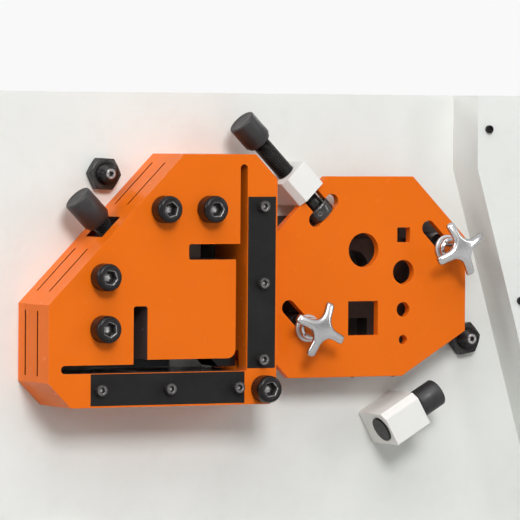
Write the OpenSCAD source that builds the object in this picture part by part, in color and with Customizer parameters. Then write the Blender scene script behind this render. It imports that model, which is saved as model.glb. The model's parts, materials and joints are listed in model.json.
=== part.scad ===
// Shear head of an ironworker: the angle and bar shear station on its section of machine frame.
// Lengths are millimetres. +X is to the operator's right, +Y to the rear, +Z up.
// Places on the station are measured from the stock corner, the point where the outer faces of
// an angle bar meet, and depths are measured forward from the front face of the frame.

/* [Frame] */
// Width of the two frame plates
frame_w = 736; // [720:1:800]
// Height from the floor to the top edge of the plates
frame_h = 630; // [620:1:680]
// Thickness of each frame plate
plate_t = 30; // [26:1:36]
// Clear space between the two plates
plate_gap = 90; // [88:1:100]
// Stock corner from the left edge of the plates
corner_from_left = 290; // [288:1:300]
// Height of the stock corner above the floor
corner_rise = 326; // [320:1:340]
// Thickness of the base plate
base_t = 25; // [20:1:32]
// Depth of the base plate from front to rear
base_d = 300; // [280:1:340]
// Bore of the four base bolt holes
base_hole_d = 22; // [18:1:26]
// Distance of the base bolt holes from the edges of the base
base_hole_inset = 40; // [32:1:50]
// Thickness of the side and top spacers
spacer_t = 22; // [18:1:26]
// Height of the side spacers as a share of the frame's height
side_share = 0.55; // [0.4:0.01:0.6]
// Length of the top spacer as a share of the frame's width
top_share = 0.72; // [0.6:0.01:0.74]

/* [Angle guide] */
// Reach of the guide above the stock corner
guide_arm = 237; // [235:1:245]
// Reach of the guide to the left of the stock corner
guide_left = 241; // [239:1:246]
// Width of the guide outside the stock corner
guide_edge = 37; // [36.5:0.5:42]
// Distance of the diagonal face from the stock corner
guide_face = 223; // [218:1:228]
// Cut corners at the far ends of the guide
guide_nip = 27; // [20:1:32]
// Thickness of the rear layer
guide_rear_t = 18; // [16:1:20]
// Thickness of the middle layer
guide_mid_t = 30; // [28:1:34]
// Thickness of the front layer
guide_front_t = 28; // [26:1:32]
// Width of the stock slot
slot_w = 14; // [12:0.5:15]
// Width of the slot past the cross slots
slot_narrow_w = 9; // [7:0.5:10]
// Length of each leg of the stock slot
slot_reach = 226; // [218:1:228]
// Distance of the cross slots from the stock corner
tee_at = 122; // [115:1:128]
// Width of the cross slots
tee_w = 17; // [14:0.5:20]
// Length of the cross slots beyond the stock slot
tee_l = 58; // [50:1:62]
// Diameter of the guide's mounting screws
guide_screw_d = 20; // [18:1:22]

/* [Support rails] */
// Width of the rails
rail_w = 34.5; // [32:0.5:35]
// Length of the rails
rail_l = 188; // [180:1:192]
// Thickness of the rails
rail_t = 10; // [8:1:12]
// Diameter of the rail screws
rail_screw_d = 8; // [6:1:10]

/* [Bar clamp] */
// Thickness of the clamp plate
clamp_t = 10; // [8:1:12]
// Space between the frame and the clamp plate
clamp_standoff = 40; // [38:1:42]
// Width of the clamp plate
clamp_w = 249.5; // [246:0.5:254]
// Height of the clamp plate
clamp_h = 223.5; // [220:0.5:228]
// Cut upper corners of the clamp plate
clamp_chamfer = 69; // [66:1:70]
// Diameter of the large round and side of the large square hole
bar_big = 38; // [34:1:40]
// Diameter of the second round hole
bar_second = 27; // [24:1:29]
// Size of the small square and third round hole
bar_third = 16.5; // [14:0.5:18]
// Diameter of the smallest hole
bar_small = 10.5; // [9:0.5:12]
// Travel of the clamp plate along its slots
clamp_travel = 32; // [28:1:34]
// Diameter of the clamp studs
stud_d = 16; // [14:1:18]
// Span of the star knobs
star_d = 63; // [56:1:70]

/* [Clamp screws] */
// Diameter of the clamp screws
screw_d = 20; // [18:1:21]
// Diameter of the knobs
knob_d = 32; // [30:1:36]
// Length of the angle clamp knob
angle_knob_l = 38; // [32:1:42]
// Length of the bar clamp and lower clamp knobs
bar_knob_l = 33; // [28:1:36]

/* [Drive] */
// Thickness of the moving beam
beam_t = 82; // [80:1:84]
// Diameter of the main pivot pin
pivot_d = 70; // [60:1:76]
// Outside diameter of the hydraulic cylinder
barrel_d = 84; // [78:1:86]
// Diameter of the piston rod
rod_d = 45; // [40:1:50]
// Thickness of the blades
blade_t = 24; // [22:1:25]

/* [Side cover] */
// Height of the cover in front of the frame
cover_rise = 55; // [45:1:60]
// Thickness of the cover's sheet
cover_wall = 3; // [2:0.5:4]

/* [Hidden] */
$fn = 48;

// Fits and cuts
over = 1;              // how far a cut runs past a face
run_gap = 0.05;        // radial gap of a turning or sliding fit
free_gap = 0.3;        // gap between faces that pass each other
slide_gap = 0.5;       // gap beside a guided foot

// Frame levels: depth is forward of the front face, so the plates lie at negative depths
front_y = -(plate_gap / 2 + plate_t);
corner_x = -frame_w / 2 + corner_from_left;
inner_d = -plate_t;
rear_inner_d = -plate_t - plate_gap;
rear_d = rear_inner_d - plate_t;
left_x = -corner_from_left;
right_x = frame_w - corner_from_left;
foot_z = -corner_rise;
top_z = frame_h - corner_rise;
beam_gap = (plate_gap - beam_t) / 2;
beam_front_d = inner_d - beam_gap;
beam_rear_d = beam_front_d - beam_t;
mid_d = (beam_rear_d + beam_front_d) / 2;

// Stations on the beam and blades
shear_gap = 0.2;       // half the gap between fixed and moving blades
shear_d = inner_d - beam_gap / 2;
fixed_rear_d = shear_d + shear_gap;
fixed_front_d = fixed_rear_d + blade_t;
moving_front_d = shear_d - shear_gap;
moving_rear_d = moving_front_d - blade_t;
window_reach = 155;    // length of the stock window in plate and beam
window_ease = 4;       // room outside the stock in the windows
edge_ease = 0.8;       // set-back of the fixed blades from the stock faces
blade_w = 45;          // width of the angle blades
inner_blade_w = 46;    // width of each leg of the moving angle blade
exit_ease = 32;        // room round the stock in the rear window
blade_screw_d = 12;
blade_head_d = 20;
blade_head_t = 4;
blade_bite = 20;       // thread of the moving blade screws in the beam
near_share = 0.2;      // screws of the fixed blades along their length
far_share = 0.8;
inner_near_share = 0.45;
inner_far_share = 0.9;

// Bar blades, placed where the clamp plate's holes come after it has moved by bar_shift
bar_shift = 20;
blade_less = 2;        // the blade holes are this much smaller than the clamp plate's
bar_blade_x = 150;
bar_blade_z = -15;
bar_blade_w = 105;
bar_blade_h = 171;
bar_ledge = 8;         // ledges at the sides of the bar blades
bar_ledge_h = 14;      // ledges above and below, which take the screws
bar_screw_d = 8;
bar_head_d = 13;
bar_screw_share = 0.25;

// Guide details
guide_t = guide_rear_t + guide_mid_t + guide_front_t;
guide_mid_d = guide_rear_t;
guide_front_d = guide_rear_t + guide_mid_t;
guide_cut = guide_face * sqrt(2) - guide_arm;
guide_left_cut = guide_face * sqrt(2) - guide_left;
guide_toe = 8;         // cut lower right corner
tee_r = 3;
tongue_r = 10;
guide_screw_from = 177;    // guide screws along a leg and across it
guide_screw_near = 48;
guide_screw_far = 104;
guide_screw_toe = 20;      // screw in the outer corner
guide_screw_bite = 24;
head_share = 1.5;          // head diameter of a cap screw over its thread
socket_share = 0.85;       // hexagon socket over its thread
socket_deep_share = 0.55;
channel_w = 31;            // channel of the angle clamp
channel_front_d = 57;      // front wall of that channel
seam_w = 3;                // grooves along the seams of the layers
seam_deep = 4;
seam_end = 14;             // the grooves stop this far from the corners
seam_break = 34;           // and this far from the clamp screw

// Support rails
rail_out = 0.7;            // rails stand this far outside the stock faces
rail_start = 2.5;
rail_screw_first = 12;
rail_screw_pitch = 84;
rail_screw_bite = 12;
rail_head_h = 8;

// Angle clamp along the diagonal, measured from the stock corner
angle_axis_d = (guide_mid_d + channel_front_d) / 2;
angle_foot_from = 6;
angle_foot_l = 54;
angle_foot_socket = 14;
nut_from = 160;
nut_l = 46;
angle_knob_from = 230;
knob_bite = 24;
knob_edge = 2;

// Bar clamp plate, from the stock corner
clamp_x = 43.6;
clamp_z = -10.8;
clamp_toe = 23;
clamp_run = 81.5;
clamp_rise = 49.5;
clamp_front_d = clamp_standoff + clamp_t;
bar_big_x = 161;
bar_small_x = 212.5;
bar_round_z = 130.5;
bar_square_z = 54.4;
bar_small_square_z = 147.2;
bar_second_z = 105.6;
bar_third_z = 63.6;
bar_least_z = 29.8;
stud_left = [89, 44.5];
stud_right = [267.5, 132];
stud_slot_ease = 0.8;
stud_slot_w = stud_d + stud_slot_ease;
stud_bite = 22;
sleeve_d = 34;
washer_d = 31;
washer_t = 4;
star_hub_d = 22;
star_hub_h = 36;
star_arm_d = 13;
star_arm_h = 10;
star_web = 9;
star_collar_d = 26;
star_collar_h = 8;
star_left_turn = 65.5;
star_right_turn = 27;
stud_in_star = 24;

// Bar clamp screw along its own diagonal
bar_axis_sum = 284.5;
bar_axis_d = 37.5;
bar_knob_from = -185;
bar_block_from = -105;
bar_block_to = -71;
bar_block_w = 36;
bar_block_front_d = 57;
block_edge = 7;
collar_d = 31;
collar_l = 15;
collar_at = -46;
collar_gap = 0.6;
collar_slot_l = 44;

// Lower clamp, on an axis that rises to the right
lower_angle = 30;
lower_off = -158;
lower_from = 132;
lower_block_l = 48;
lower_to = lower_from + lower_block_l;
lower_axis_d = 38;
lower_w = 40;
lower_front_d = 58;
lower_foot_d = 29;
lower_foot_l = 10;
lower_foot_out = 2;
lower_bore_l = 40;

// Gib screws and wear pads
gib_left_x = -141.5;
gib_left_z = 214.5;
gib_from_right = 128;    // right gib from their right edge
gib_right_z = 28;
gib_left = [gib_left_x, gib_left_z];
gib_right = [right_x - gib_from_right, gib_right_z];
gib_d = 22;
gib_out = 25;
gib_point_d = 15;       // gib screws taper to this at their outer ends
gib_point_l = 4;
gib_socket_d = 11.5;
gib_socket_deep = 8;
nut_flat = 32;
nut_t = 11;
pad_d = 40;
pad_deep = 6;
gib_l = plate_t - pad_deep + gib_out;
wear_d = 70;

// Main pivot of the beam and the cylinder that drives it
pivot_x = -180;
pivot_rise = 100;      // above the floor
pivot = [pivot_x, foot_z + pivot_rise];
pivot_boss_d = 132;
boss_share = 0.9;      // the beam's sides run into its boss this far out
bush_wall = 8;
beam_margin = 46;      // metal left round the windows of the beam
beam_side = 10;        // and beside the bar blade
beam_waist_z = 20;
beam_top_gap = 27.5;   // room between the beam and the top spacer
beam_top_z = top_z - spacer_t - beam_top_gap;
arm_top_z = 95;        // arm that carries the piston rod's pin
arm_low_z = -8;
arm_end = 42;
fork_drop_share = 0.6;
cap_d = 112;
cap_t = 12;
cap_screw_d = 10;
cap_screw_r = 44;
cap_screw_bite = 16;
cap_screw_n = 4;
cap_turn = 45;
cyl_from_right = 96;   // cylinder from the right edge of the plates
cyl_drop = 32;         // its pin below their top edge
rod_end_z = 40;
cyl_top = [right_x - cyl_from_right, top_z - cyl_drop];
rod_end = [cyl_top.x, rod_end_z];
cyl_pin_d = 36;
cyl_eye_d = 62;
cyl_eye_w = 56;
rod_pin_d = 32;
rod_eye_d = 58;
rod_eye_w = 44;
rod_eye_ease = 1.5;
fork_gap = 49;
barrel_drop = 26;
barrel_top_z = cyl_top.y - barrel_drop;
barrel_bottom_z = 106;
barrel_wall = 9;
barrel_end_t = 20;
gland_t = 26;
piston_t = 28;
piston_up = 3;         // piston's gap under the blind end at rest
port_d = 28;
port_h = 10;
port_bore_d = 14;
port_inset = 18;
access_back = 15;      // opening in the front plate behind the cover
access_drop = 34;      // and below the cylinder's pin
access_left = cyl_top.x - access_back;
access_w = 57;
access_low = 132;
access_high = cyl_top.y - access_drop;
access_r = 12;

// Side cover
cover_w = 141;
cover_left = right_x - cover_w;
cover_knee_z = 222;
cover_lean = 0.2915;   // how far the lower edge leans out for each unit down
cover_low_z = -150;
cover_screw_d = 6;
cover_head_h = 3.5;
post_d = 16;
cover_edge = 14;       // screws from the edges
cover_drop = 38;       // upper screws below the top edge
cover_mid_z = 72;

// Flap behind the exits, hung from a pin
guard_left = -70;
guard_right = 340;
guard_low_z = -60;
guard_pin_z = 202;
guard_pin_d = 10;
guard_reach = 60;
guard_d = rear_d - guard_reach;
guard_t = 4;
guard_tube_d = 18;
guard_gap = 2;
bracket_t = 12;
bracket_h = 26;

bar_holes = [[bar_big_x, bar_round_z, bar_big, false], [bar_big_x, bar_square_z, bar_big, true],
    [bar_small_x, bar_small_square_z, bar_third, true], [bar_small_x, bar_second_z, bar_second, false],
    [bar_small_x, bar_third_z, bar_third, false], [bar_small_x, bar_least_z, bar_small, false]];

function cap_screw_place(k) = pivot + cap_screw_r * [cos(cap_turn + k * 360 / cap_screw_n),
    sin(cap_turn + k * 360 / cap_screw_n)];

function cover_x(z) = z > cover_knee_z ? cover_left : cover_left + (cover_knee_z - z) * cover_lean;

cover_points = [[cover_left + cover_edge, top_z - cover_drop],
    [cover_x(cover_mid_z) + cover_edge, cover_mid_z], [right_x - cover_edge, top_z - cover_drop],
    [right_x - cover_edge, cover_low_z + 2 * cover_edge]];

// Extrudes a station profile between two depths
module slab(back_d, front_d) {
    translate([corner_x, front_y - back_d, corner_rise])
        rotate([90, 0, 0])
            linear_extrude(front_d - back_d)
                children();
}

// Puts a round bar across the frame between two depths
module bar_at(place, back_d, front_d, dia) {
    translate([corner_x + place.x, front_y - back_d, corner_rise + place.y])
        rotate([90, 0, 0])
            cylinder(d = dia, h = front_d - back_d);
}

// Puts children on an axis in the station's plane: local +Z points along the angle
module along(place, depth, angle) {
    translate([corner_x + place.x, front_y - depth, corner_rise + place.y])
        rotate([0, 90 - angle, 0])
            children();
}

module round_rect(w, h, r) {
    translate([r, 0])
        square([w - 2 * r, h]);
    translate([0, r])
        square([w, h - 2 * r]);
    for (x = [r, w - r], y = [r, h - r])
        translate([x, y])
            circle(r);
}

// Slot with round ends between two points on the X axis of the profile
module round_slot(from, to, w) {
    translate([from, -w / 2])
        square([to - from, w]);
    for (x = [from, to])
        translate([x, 0])
            circle(d = w);
}

// Draws a profile and its mirror image about the diagonal of the stock corner
module both_legs() {
    children();
    mirror([1, 1, 0])
        children();
}

// One cap screw, head upwards along +Z from its seat
module cap_screw(dia, head_h, shank) {
    difference() {
        cylinder(d = dia * head_share, h = head_h);
        translate([0, 0, head_h - dia * socket_deep_share])
            cylinder(d = dia * socket_share / cos(30), h = dia * socket_deep_share + over, $fn = 6);
    }
    translate([0, 0, -shank])
        cylinder(d = dia, h = shank + over);
}

// A cap screw on the station, its seat at a depth
module station_screw(place, seat_d, dia, head_h, shank) {
    translate([corner_x + place.x, front_y - seat_d, corner_rise + place.y])
        rotate([90, 0, 0])
            cap_screw(dia, head_h, shank);
}

module knob(len) {
    edge = knob_edge;
    rotate_extrude()
        polygon([[0, 0], [knob_d / 2 - edge, 0], [knob_d / 2, edge], [knob_d / 2, len - edge],
            [knob_d / 2 - edge, len], [0, len]]);
}

// Profiles of the angle guide

module guide_outline() {
    polygon([[-guide_left, guide_left_cut], [-guide_cut, guide_arm], [guide_edge - guide_nip, guide_arm],
        [guide_edge, guide_arm - guide_nip], [guide_edge, -guide_edge + guide_toe],
        [guide_edge - guide_toe, -guide_edge], [-guide_left + guide_nip, -guide_edge],
        [-guide_left, -guide_edge + guide_nip]]);
}

module stock_leg() {
    translate([-tee_at - tee_w, 0])
        square([tee_at + tee_w, slot_w]);
    translate([-slot_reach + slot_narrow_w / 2, 0])
        square([slot_reach - slot_narrow_w / 2, slot_narrow_w]);
    translate([-slot_reach + slot_narrow_w / 2, slot_narrow_w / 2])
        circle(d = slot_narrow_w);
    translate([-tee_at - tee_w, 0])
        round_rect(tee_w, slot_w + tee_l, tee_r);
}

module stock_slot() {
    both_legs()
        stock_leg();
    translate([-slot_w, slot_w])
        difference() {
            translate([-tongue_r, -over])
                square([tongue_r + over, tongue_r + over]);
            translate([-tongue_r, tongue_r])
                circle(tongue_r);
        }
}

module clamp_channel() {
    rotate(135)
        translate([0, -channel_w / 2])
            square([guide_face + over, channel_w]);
}

guide_screw_places = [[-guide_screw_near, guide_screw_from], [-guide_screw_far, guide_screw_from],
    [-guide_screw_from, guide_screw_near], [-guide_screw_from, guide_screw_far],
    [guide_screw_toe, -guide_screw_toe]];

module guide_screw_holes() {
    for (p = guide_screw_places)
        translate(p)
            circle(d = guide_screw_d + 2 * run_gap);
}

module rail_outline() {
    translate([-rail_start - rail_l, -rail_out - rail_w])
        square([rail_l, rail_w]);
}

function rail_screw_place(i) = [-rail_screw_first - i * rail_screw_pitch, -rail_out - rail_w / 2];

module rail_screw_holes() {
    for (i = [0:2])
        translate(rail_screw_place(i))
            circle(d = rail_screw_d + 2 * run_gap);
}

// Grooves that show the seams between the layers, on the left and diagonal faces
module seam_grooves(seam_d) {
    face_half = (guide_arm - guide_cut) / sqrt(2);
    for (s = [-1, 1])
        slab(seam_d - seam_w / 2, seam_d + seam_w / 2)
            rotate(135)
                translate([guide_face - seam_deep, s > 0 ? seam_break : -face_half + seam_end])
                    square([seam_deep + over, face_half - seam_break - seam_end]);
    slab(seam_d - seam_w / 2, seam_d + seam_w / 2)
        translate([-guide_left - over, -guide_edge + guide_nip + seam_end / 2])
            square([seam_deep + over, guide_left_cut + guide_edge - guide_nip - seam_end]);
}

// Orange laminated guide

module guide_rear_plate() {
    color("darkorange")
        difference() {
            slab(0, guide_rear_t)
                difference() {
                    guide_outline();
                    stock_slot();
                    guide_screw_holes();
                }
            seam_grooves(guide_rear_t);
        }
}

module guide_middle_plate() {
    color("darkorange")
        difference() {
            slab(guide_mid_d, guide_front_d)
                difference() {
                    guide_outline();
                    stock_slot();
                    clamp_channel();
                    guide_screw_holes();
                }
            seam_grooves(guide_mid_d);
            seam_grooves(guide_front_d);
        }
}

module guide_front_plate() {
    color("darkorange")
        difference() {
            slab(guide_front_d, guide_t)
                difference() {
                    guide_outline();
                    stock_slot();
                    guide_screw_holes();
                }
            slab(guide_front_d - over, channel_front_d)
                clamp_channel();
            slab(guide_t - rail_t, guide_t + over)
                both_legs()
                    rail_outline();
            slab(guide_t - rail_t - rail_screw_bite, guide_t)
                both_legs()
                    rail_screw_holes();
            seam_grooves(guide_front_d);
        }
}

module guide_screws() {
    color("dimgray")
        for (p = guide_screw_places)
            station_screw(p, guide_t, guide_screw_d, guide_screw_d, guide_t + guide_screw_bite);
}

module horizontal_rail() {
    color("black")
        slab(guide_t - rail_t, guide_t)
            difference() {
                rail_outline();
                rail_screw_holes();
            }
}

module vertical_rail() {
    color("black")
        slab(guide_t - rail_t, guide_t)
            mirror([1, 1, 0])
                difference() {
                    rail_outline();
                    rail_screw_holes();
                }
}

module rail_screws() {
    color("dimgray")
        for (i = [0:2], turned = [false, true]) {
            p = rail_screw_place(i);
            station_screw(turned ? [-p.y, -p.x] : p, guide_t, rail_screw_d, rail_head_h,
                rail_t + rail_screw_bite - free_gap);
        }
}

// Angle clamp

module diagonal_block(from, len, w, gap) {
    rotate(135)
        translate([from, -w / 2 + gap])
            square([len, w - 2 * gap]);
}

module clamp_nut() {
    color("dimgray")
        difference() {
            slab(guide_mid_d + run_gap, channel_front_d - run_gap)
                diagonal_block(nut_from, nut_l, channel_w, run_gap);
            along([0, 0], angle_axis_d, 135)
                cylinder(d = screw_d + 2 * run_gap, h = guide_face);
        }
}

module angle_clamp_foot() {
    half = channel_w / 2 - slide_gap;
    color("dimgray")
        difference() {
            slab(guide_mid_d + slide_gap, channel_front_d - slide_gap)
                rotate(135)
                    polygon([[angle_foot_from, 0], [angle_foot_from + half, -half],
                        [angle_foot_from + angle_foot_l, -half], [angle_foot_from + angle_foot_l, half],
                        [angle_foot_from + half, half]]);
            along([0, 0], angle_axis_d, 135)
                translate([0, 0, angle_foot_from + angle_foot_l - angle_foot_socket])
                    cylinder(d = screw_d + 2 * run_gap, h = angle_foot_socket + over);
        }
}

module angle_clamp_screw() {
    from = angle_foot_from + angle_foot_l - angle_foot_socket + free_gap;
    color("black")
        along([0, 0], angle_axis_d, 135)
            translate([0, 0, from])
                cylinder(d = screw_d, h = angle_knob_from + knob_bite - free_gap - from);
}

module bored_knob(len) {
    difference() {
        knob(len);
        translate([0, 0, -over])
            cylinder(d = screw_d + 2 * run_gap, h = knob_bite + over);
    }
}

module angle_clamp_knob() {
    color("black")
        along([0, 0], angle_axis_d, 135)
            translate([0, 0, angle_knob_from])
                bored_knob(angle_knob_l);
}

// Bar clamp

module hole_shape(size, is_square) {
    if (is_square)
        square(size, center = true);
    else
        circle(d = size);
}

module clamp_outline() {
    translate([clamp_x, clamp_z])
        polygon([[0, clamp_toe], [clamp_toe, 0], [clamp_w - clamp_run, 0], [clamp_w, clamp_rise],
            [clamp_w, clamp_h - clamp_chamfer], [clamp_w - clamp_chamfer, clamp_h],
            [clamp_chamfer, clamp_h], [0, clamp_h - clamp_chamfer]]);
}

bar_axis_point = [bar_axis_sum / 2, bar_axis_sum / 2];

module clamp_cuts() {
    for (h = bar_holes)
        translate([h.x, h.y])
            hole_shape(h[2], h[3]);
    for (s = [stud_left, stud_right])
        translate(s)
            rotate(135)
                round_slot(0, clamp_travel, stud_slot_w);
    translate(bar_axis_point)
        rotate(-45) {
            translate([collar_at, 0])
                rotate(90)
                    round_slot(-(collar_slot_l - collar_l) / 2, (collar_slot_l - collar_l) / 2,
                        collar_l + 2 * collar_gap);
            translate([collar_at - clamp_w, -screw_d / 2 - slide_gap])
                square([clamp_w, screw_d + 2 * slide_gap]);
        }
}

module bar_clamp_plate() {
    color("darkorange")
        slab(clamp_standoff, clamp_front_d)
            difference() {
                clamp_outline();
                clamp_cuts();
            }
}

module bar_clamp_block() {
    color("white")
        difference() {
            along(bar_axis_point, 0, -45)
                translate([0, 0, bar_block_from])
                    linear_extrude(bar_block_to - bar_block_from)
                        polygon([[-bar_block_w / 2, 0], [bar_block_w / 2, 0],
                            [bar_block_w / 2, -bar_block_front_d + block_edge],
                            [bar_block_w / 2 - block_edge, -bar_block_front_d],
                            [-bar_block_w / 2, -bar_block_front_d]]);
            along(bar_axis_point, bar_axis_d, -45)
                translate([0, 0, bar_block_from - over])
                    cylinder(d = screw_d + 2 * run_gap, h = bar_block_to - bar_block_from + 2 * over);
        }
}

module bar_clamp_screw() {
    from = bar_knob_from + bar_knob_l - knob_bite + free_gap;
    color("black")
        along(bar_axis_point, bar_axis_d, -45)
            translate([0, 0, from])
                cylinder(d = screw_d, h = collar_at + collar_l / 2 - from);
}

module bar_clamp_collar() {
    color("dimgray")
        along(bar_axis_point, bar_axis_d, -45)
            translate([0, 0, collar_at - collar_l / 2])
                difference() {
                    cylinder(d = collar_d, h = collar_l);
                    translate([0, 0, -over])
                        cylinder(d = screw_d + 2 * run_gap, h = collar_l + 2 * over);
                }
}

module bar_clamp_knob() {
    color("black")
        along(bar_axis_point, bar_axis_d, -45)
            translate([0, 0, bar_knob_from + bar_knob_l])
                rotate([180, 0, 0])
                    bored_knob(bar_knob_l);
}

module clamp_studs() {
    color("silver")
        for (s = [stud_left, stud_right])
            bar_at(s, -stud_bite, clamp_front_d + free_gap + washer_t + stud_in_star, stud_d);
}

module stud_sleeves() {
    color("dimgray")
        for (s = [stud_left, stud_right])
            difference() {
                bar_at(s, 0, clamp_standoff - free_gap, sleeve_d);
                bar_at(s, -over, clamp_standoff + over, stud_d + 2 * run_gap);
            }
}

module star_washer(place) {
    difference() {
        bar_at(place, clamp_front_d + free_gap, clamp_front_d + free_gap + washer_t, washer_d);
        bar_at(place, clamp_front_d, clamp_front_d + free_gap + washer_t + over, stud_d + 2 * run_gap);
    }
}

// Four-armed knob, its back on the washer
module star_knob(place, turn) {
    back_d = clamp_front_d + free_gap + washer_t;
    reach = (star_d - star_arm_d) / 2;
    translate([corner_x + place.x, front_y - back_d, corner_rise + place.y])
        rotate([90, 0, 0])
            difference() {
                union() {
                    cylinder(d = star_collar_d, h = star_collar_h);
                    cylinder(d = star_hub_d, h = star_hub_h);
                    for (k = [0:3])
                        rotate(turn + 90 * k)
                            translate([0, 0, star_hub_h - star_arm_h]) {
                                translate([0, -star_web / 2, 0])
                                    cube([reach, star_web, star_arm_h]);
                                translate([reach, 0, 0])
                                    cylinder(d = star_arm_d, h = star_arm_h);
                            }
                }
                translate([0, 0, -over])
                    cylinder(d = stud_d + 2 * run_gap, h = stud_in_star + free_gap + over);
            }
}

module star_washer_left() {
    color("silver")
        star_washer(stud_left);
}

module star_washer_right() {
    color("silver")
        star_washer(stud_right);
}

module star_knob_left() {
    color("silver")
        star_knob(stud_left, star_left_turn);
}

module star_knob_right() {
    color("silver")
        star_knob(stud_right, star_right_turn);
}

// Lower clamp

lower_point = [-lower_off * sin(lower_angle), lower_off * cos(lower_angle)];

module lower_clamp_block() {
    color("white")
        difference() {
            along(lower_point, 0, lower_angle)
                translate([0, 0, lower_from])
                    linear_extrude(lower_to - lower_from)
                        polygon([[-lower_w / 2, 0], [lower_w / 2, 0], [lower_w / 2, -lower_front_d],
                            [-lower_w / 2 + block_edge, -lower_front_d],
                            [-lower_w / 2, -lower_front_d + block_edge]]);
            along(lower_point, lower_axis_d, lower_angle) {
                translate([0, 0, lower_from - over])
                    cylinder(d = screw_d + 2 * run_gap, h = lower_to - lower_from + 2 * over);
                translate([0, 0, lower_from - over])
                    cylinder(d = lower_foot_d + 2 * run_gap, h = lower_bore_l + over);
            }
        }
}

module lower_clamp_foot() {
    color("dimgray")
        along(lower_point, lower_axis_d, lower_angle)
            translate([0, 0, lower_from - lower_foot_out])
                difference() {
                    cylinder(d = lower_foot_d, h = lower_foot_l);
                    translate([0, 0, lower_foot_l / 2])
                        cylinder(d = screw_d + 2 * run_gap, h = lower_foot_l);
                }
}

module lower_clamp_screw() {
    from = lower_from - lower_foot_out + lower_foot_l / 2 + free_gap;
    color("black")
        along(lower_point, lower_axis_d, lower_angle)
            translate([0, 0, from])
                cylinder(d = screw_d, h = lower_to + slide_gap + knob_bite - free_gap - from);
}

module lower_clamp_knob() {
    color("black")
        along(lower_point, lower_axis_d, lower_angle)
            translate([0, 0, lower_to + slide_gap])
                bored_knob(bar_knob_l);
}

// Frame

module plate_outline() {
    translate([left_x, foot_z + base_t])
        square([frame_w, frame_h - base_t]);
}

module stock_window() {
    both_legs()
        translate([-window_reach, -window_ease])
            square([window_reach + window_ease, slot_w + 2 * window_ease]);
}

module fixed_leg() {
    translate([-window_reach, -edge_ease - blade_w])
        square([window_reach - edge_ease, blade_w]);
}

module fixed_post() {
    translate([edge_ease, -edge_ease])
        square([blade_w, window_reach + edge_ease]);
}

fixed_screw_places = [for (t = [near_share, far_share]) each [
    [edge_ease + blade_w / 2, window_reach * t], [-window_reach * t, -edge_ease - blade_w / 2]]];

bar_screw_places = [for (side = [bar_screw_share, 1 - bar_screw_share],
    z = [bar_ledge_h / 2, bar_blade_h - bar_ledge_h / 2])
    [bar_blade_x + bar_blade_w * side, bar_blade_z + z]];

module bar_blade_outline() {
    translate([bar_blade_x, bar_blade_z])
        square([bar_blade_w, bar_blade_h]);
}

module bar_window() {
    translate([bar_blade_x + bar_ledge, bar_blade_z + bar_ledge_h])
        square([bar_blade_w - 2 * bar_ledge, bar_blade_h - 2 * bar_ledge_h]);
}

module front_frame_plate() {
    color("gainsboro")
        difference() {
            slab(inner_d, 0)
                difference() {
                    plate_outline();
                    stock_window();
                    bar_window();
                    translate([access_left, access_low])
                        round_rect(access_w, access_high - access_low, access_r);
                }
            slab(inner_d - over, fixed_front_d) {
                fixed_leg();
                fixed_post();
                bar_blade_outline();
            }
            for (p = guide_screw_places)
                bar_at(p, -guide_screw_bite - over, over, guide_screw_d + 2 * run_gap);
            for (s = [stud_left, stud_right])
                bar_at(s, -stud_bite - over, over, stud_d + 2 * run_gap);
            for (g = [gib_left, gib_right]) {
                bar_at(g, inner_d - over, over, gib_d + 2 * run_gap);
                bar_at(g, inner_d - over, inner_d + pad_deep, pad_d + 2 * run_gap);
            }
            for (p = fixed_screw_places) {
                bar_at(p, fixed_front_d - over, over, blade_screw_d + 2 * run_gap);
                bar_at(p, -blade_head_t, over, blade_head_d + 2 * run_gap);
            }
            for (p = bar_screw_places) {
                bar_at(p, fixed_front_d - over, over, bar_screw_d + 2 * run_gap);
                bar_at(p, -blade_head_t, over, bar_head_d + 2 * run_gap);
            }
            bar_at(pivot, inner_d - over, over, pivot_d + 2 * run_gap);
            bar_at(cyl_top, inner_d - over, over, cyl_pin_d + 2 * run_gap);
            pivot_cap_holes(-cap_screw_bite, over);
        }
}

module pivot_cap_holes(back_d, front_d) {
    for (k = [0:cap_screw_n - 1])
        bar_at(cap_screw_place(k), back_d, front_d, cap_screw_d + 2 * run_gap);
}

module rear_frame_plate() {
    color("gainsboro")
        difference() {
            slab(rear_d, rear_inner_d)
                difference() {
                    plate_outline();
                    translate([-window_reach - exit_ease, -exit_ease])
                        round_rect(window_reach + 2 * exit_ease, window_reach + 2 * exit_ease, access_r);
                    translate([bar_blade_x - bar_ledge, bar_blade_z - exit_ease])
                        round_rect(bar_blade_w + exit_ease, bar_blade_h + exit_ease, access_r);
                }
            bar_at(pivot, rear_d - over, rear_inner_d + over, pivot_d + 2 * run_gap);
            bar_at(cyl_top, rear_d - over, rear_inner_d + over, cyl_pin_d + 2 * run_gap);
            pivot_cap_holes(rear_d - over, rear_d + cap_screw_bite);
        }
}

module base_plate() {
    color("gainsboro")
        difference() {
            translate([-frame_w / 2, -base_d / 2, 0])
                cube([frame_w, base_d, base_t]);
            for (x = [-1, 1], y = [-1, 1])
                translate([x * (frame_w / 2 - base_hole_inset), y * (base_d / 2 - base_hole_inset), -over])
                    cylinder(d = base_hole_d, h = base_t + 2 * over);
        }
}

module left_spacer() {
    color("gainsboro")
        slab(rear_inner_d, inner_d)
            translate([left_x, foot_z + base_t])
                square([spacer_t, frame_h * side_share]);
}

module right_spacer() {
    color("gainsboro")
        slab(rear_inner_d, inner_d)
            translate([right_x - spacer_t, foot_z + base_t])
                square([spacer_t, frame_h * side_share]);
}

module top_spacer() {
    color("gainsboro")
        slab(rear_inner_d, inner_d)
            translate([left_x, top_z - spacer_t])
                square([frame_w * top_share, spacer_t]);
}

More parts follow.
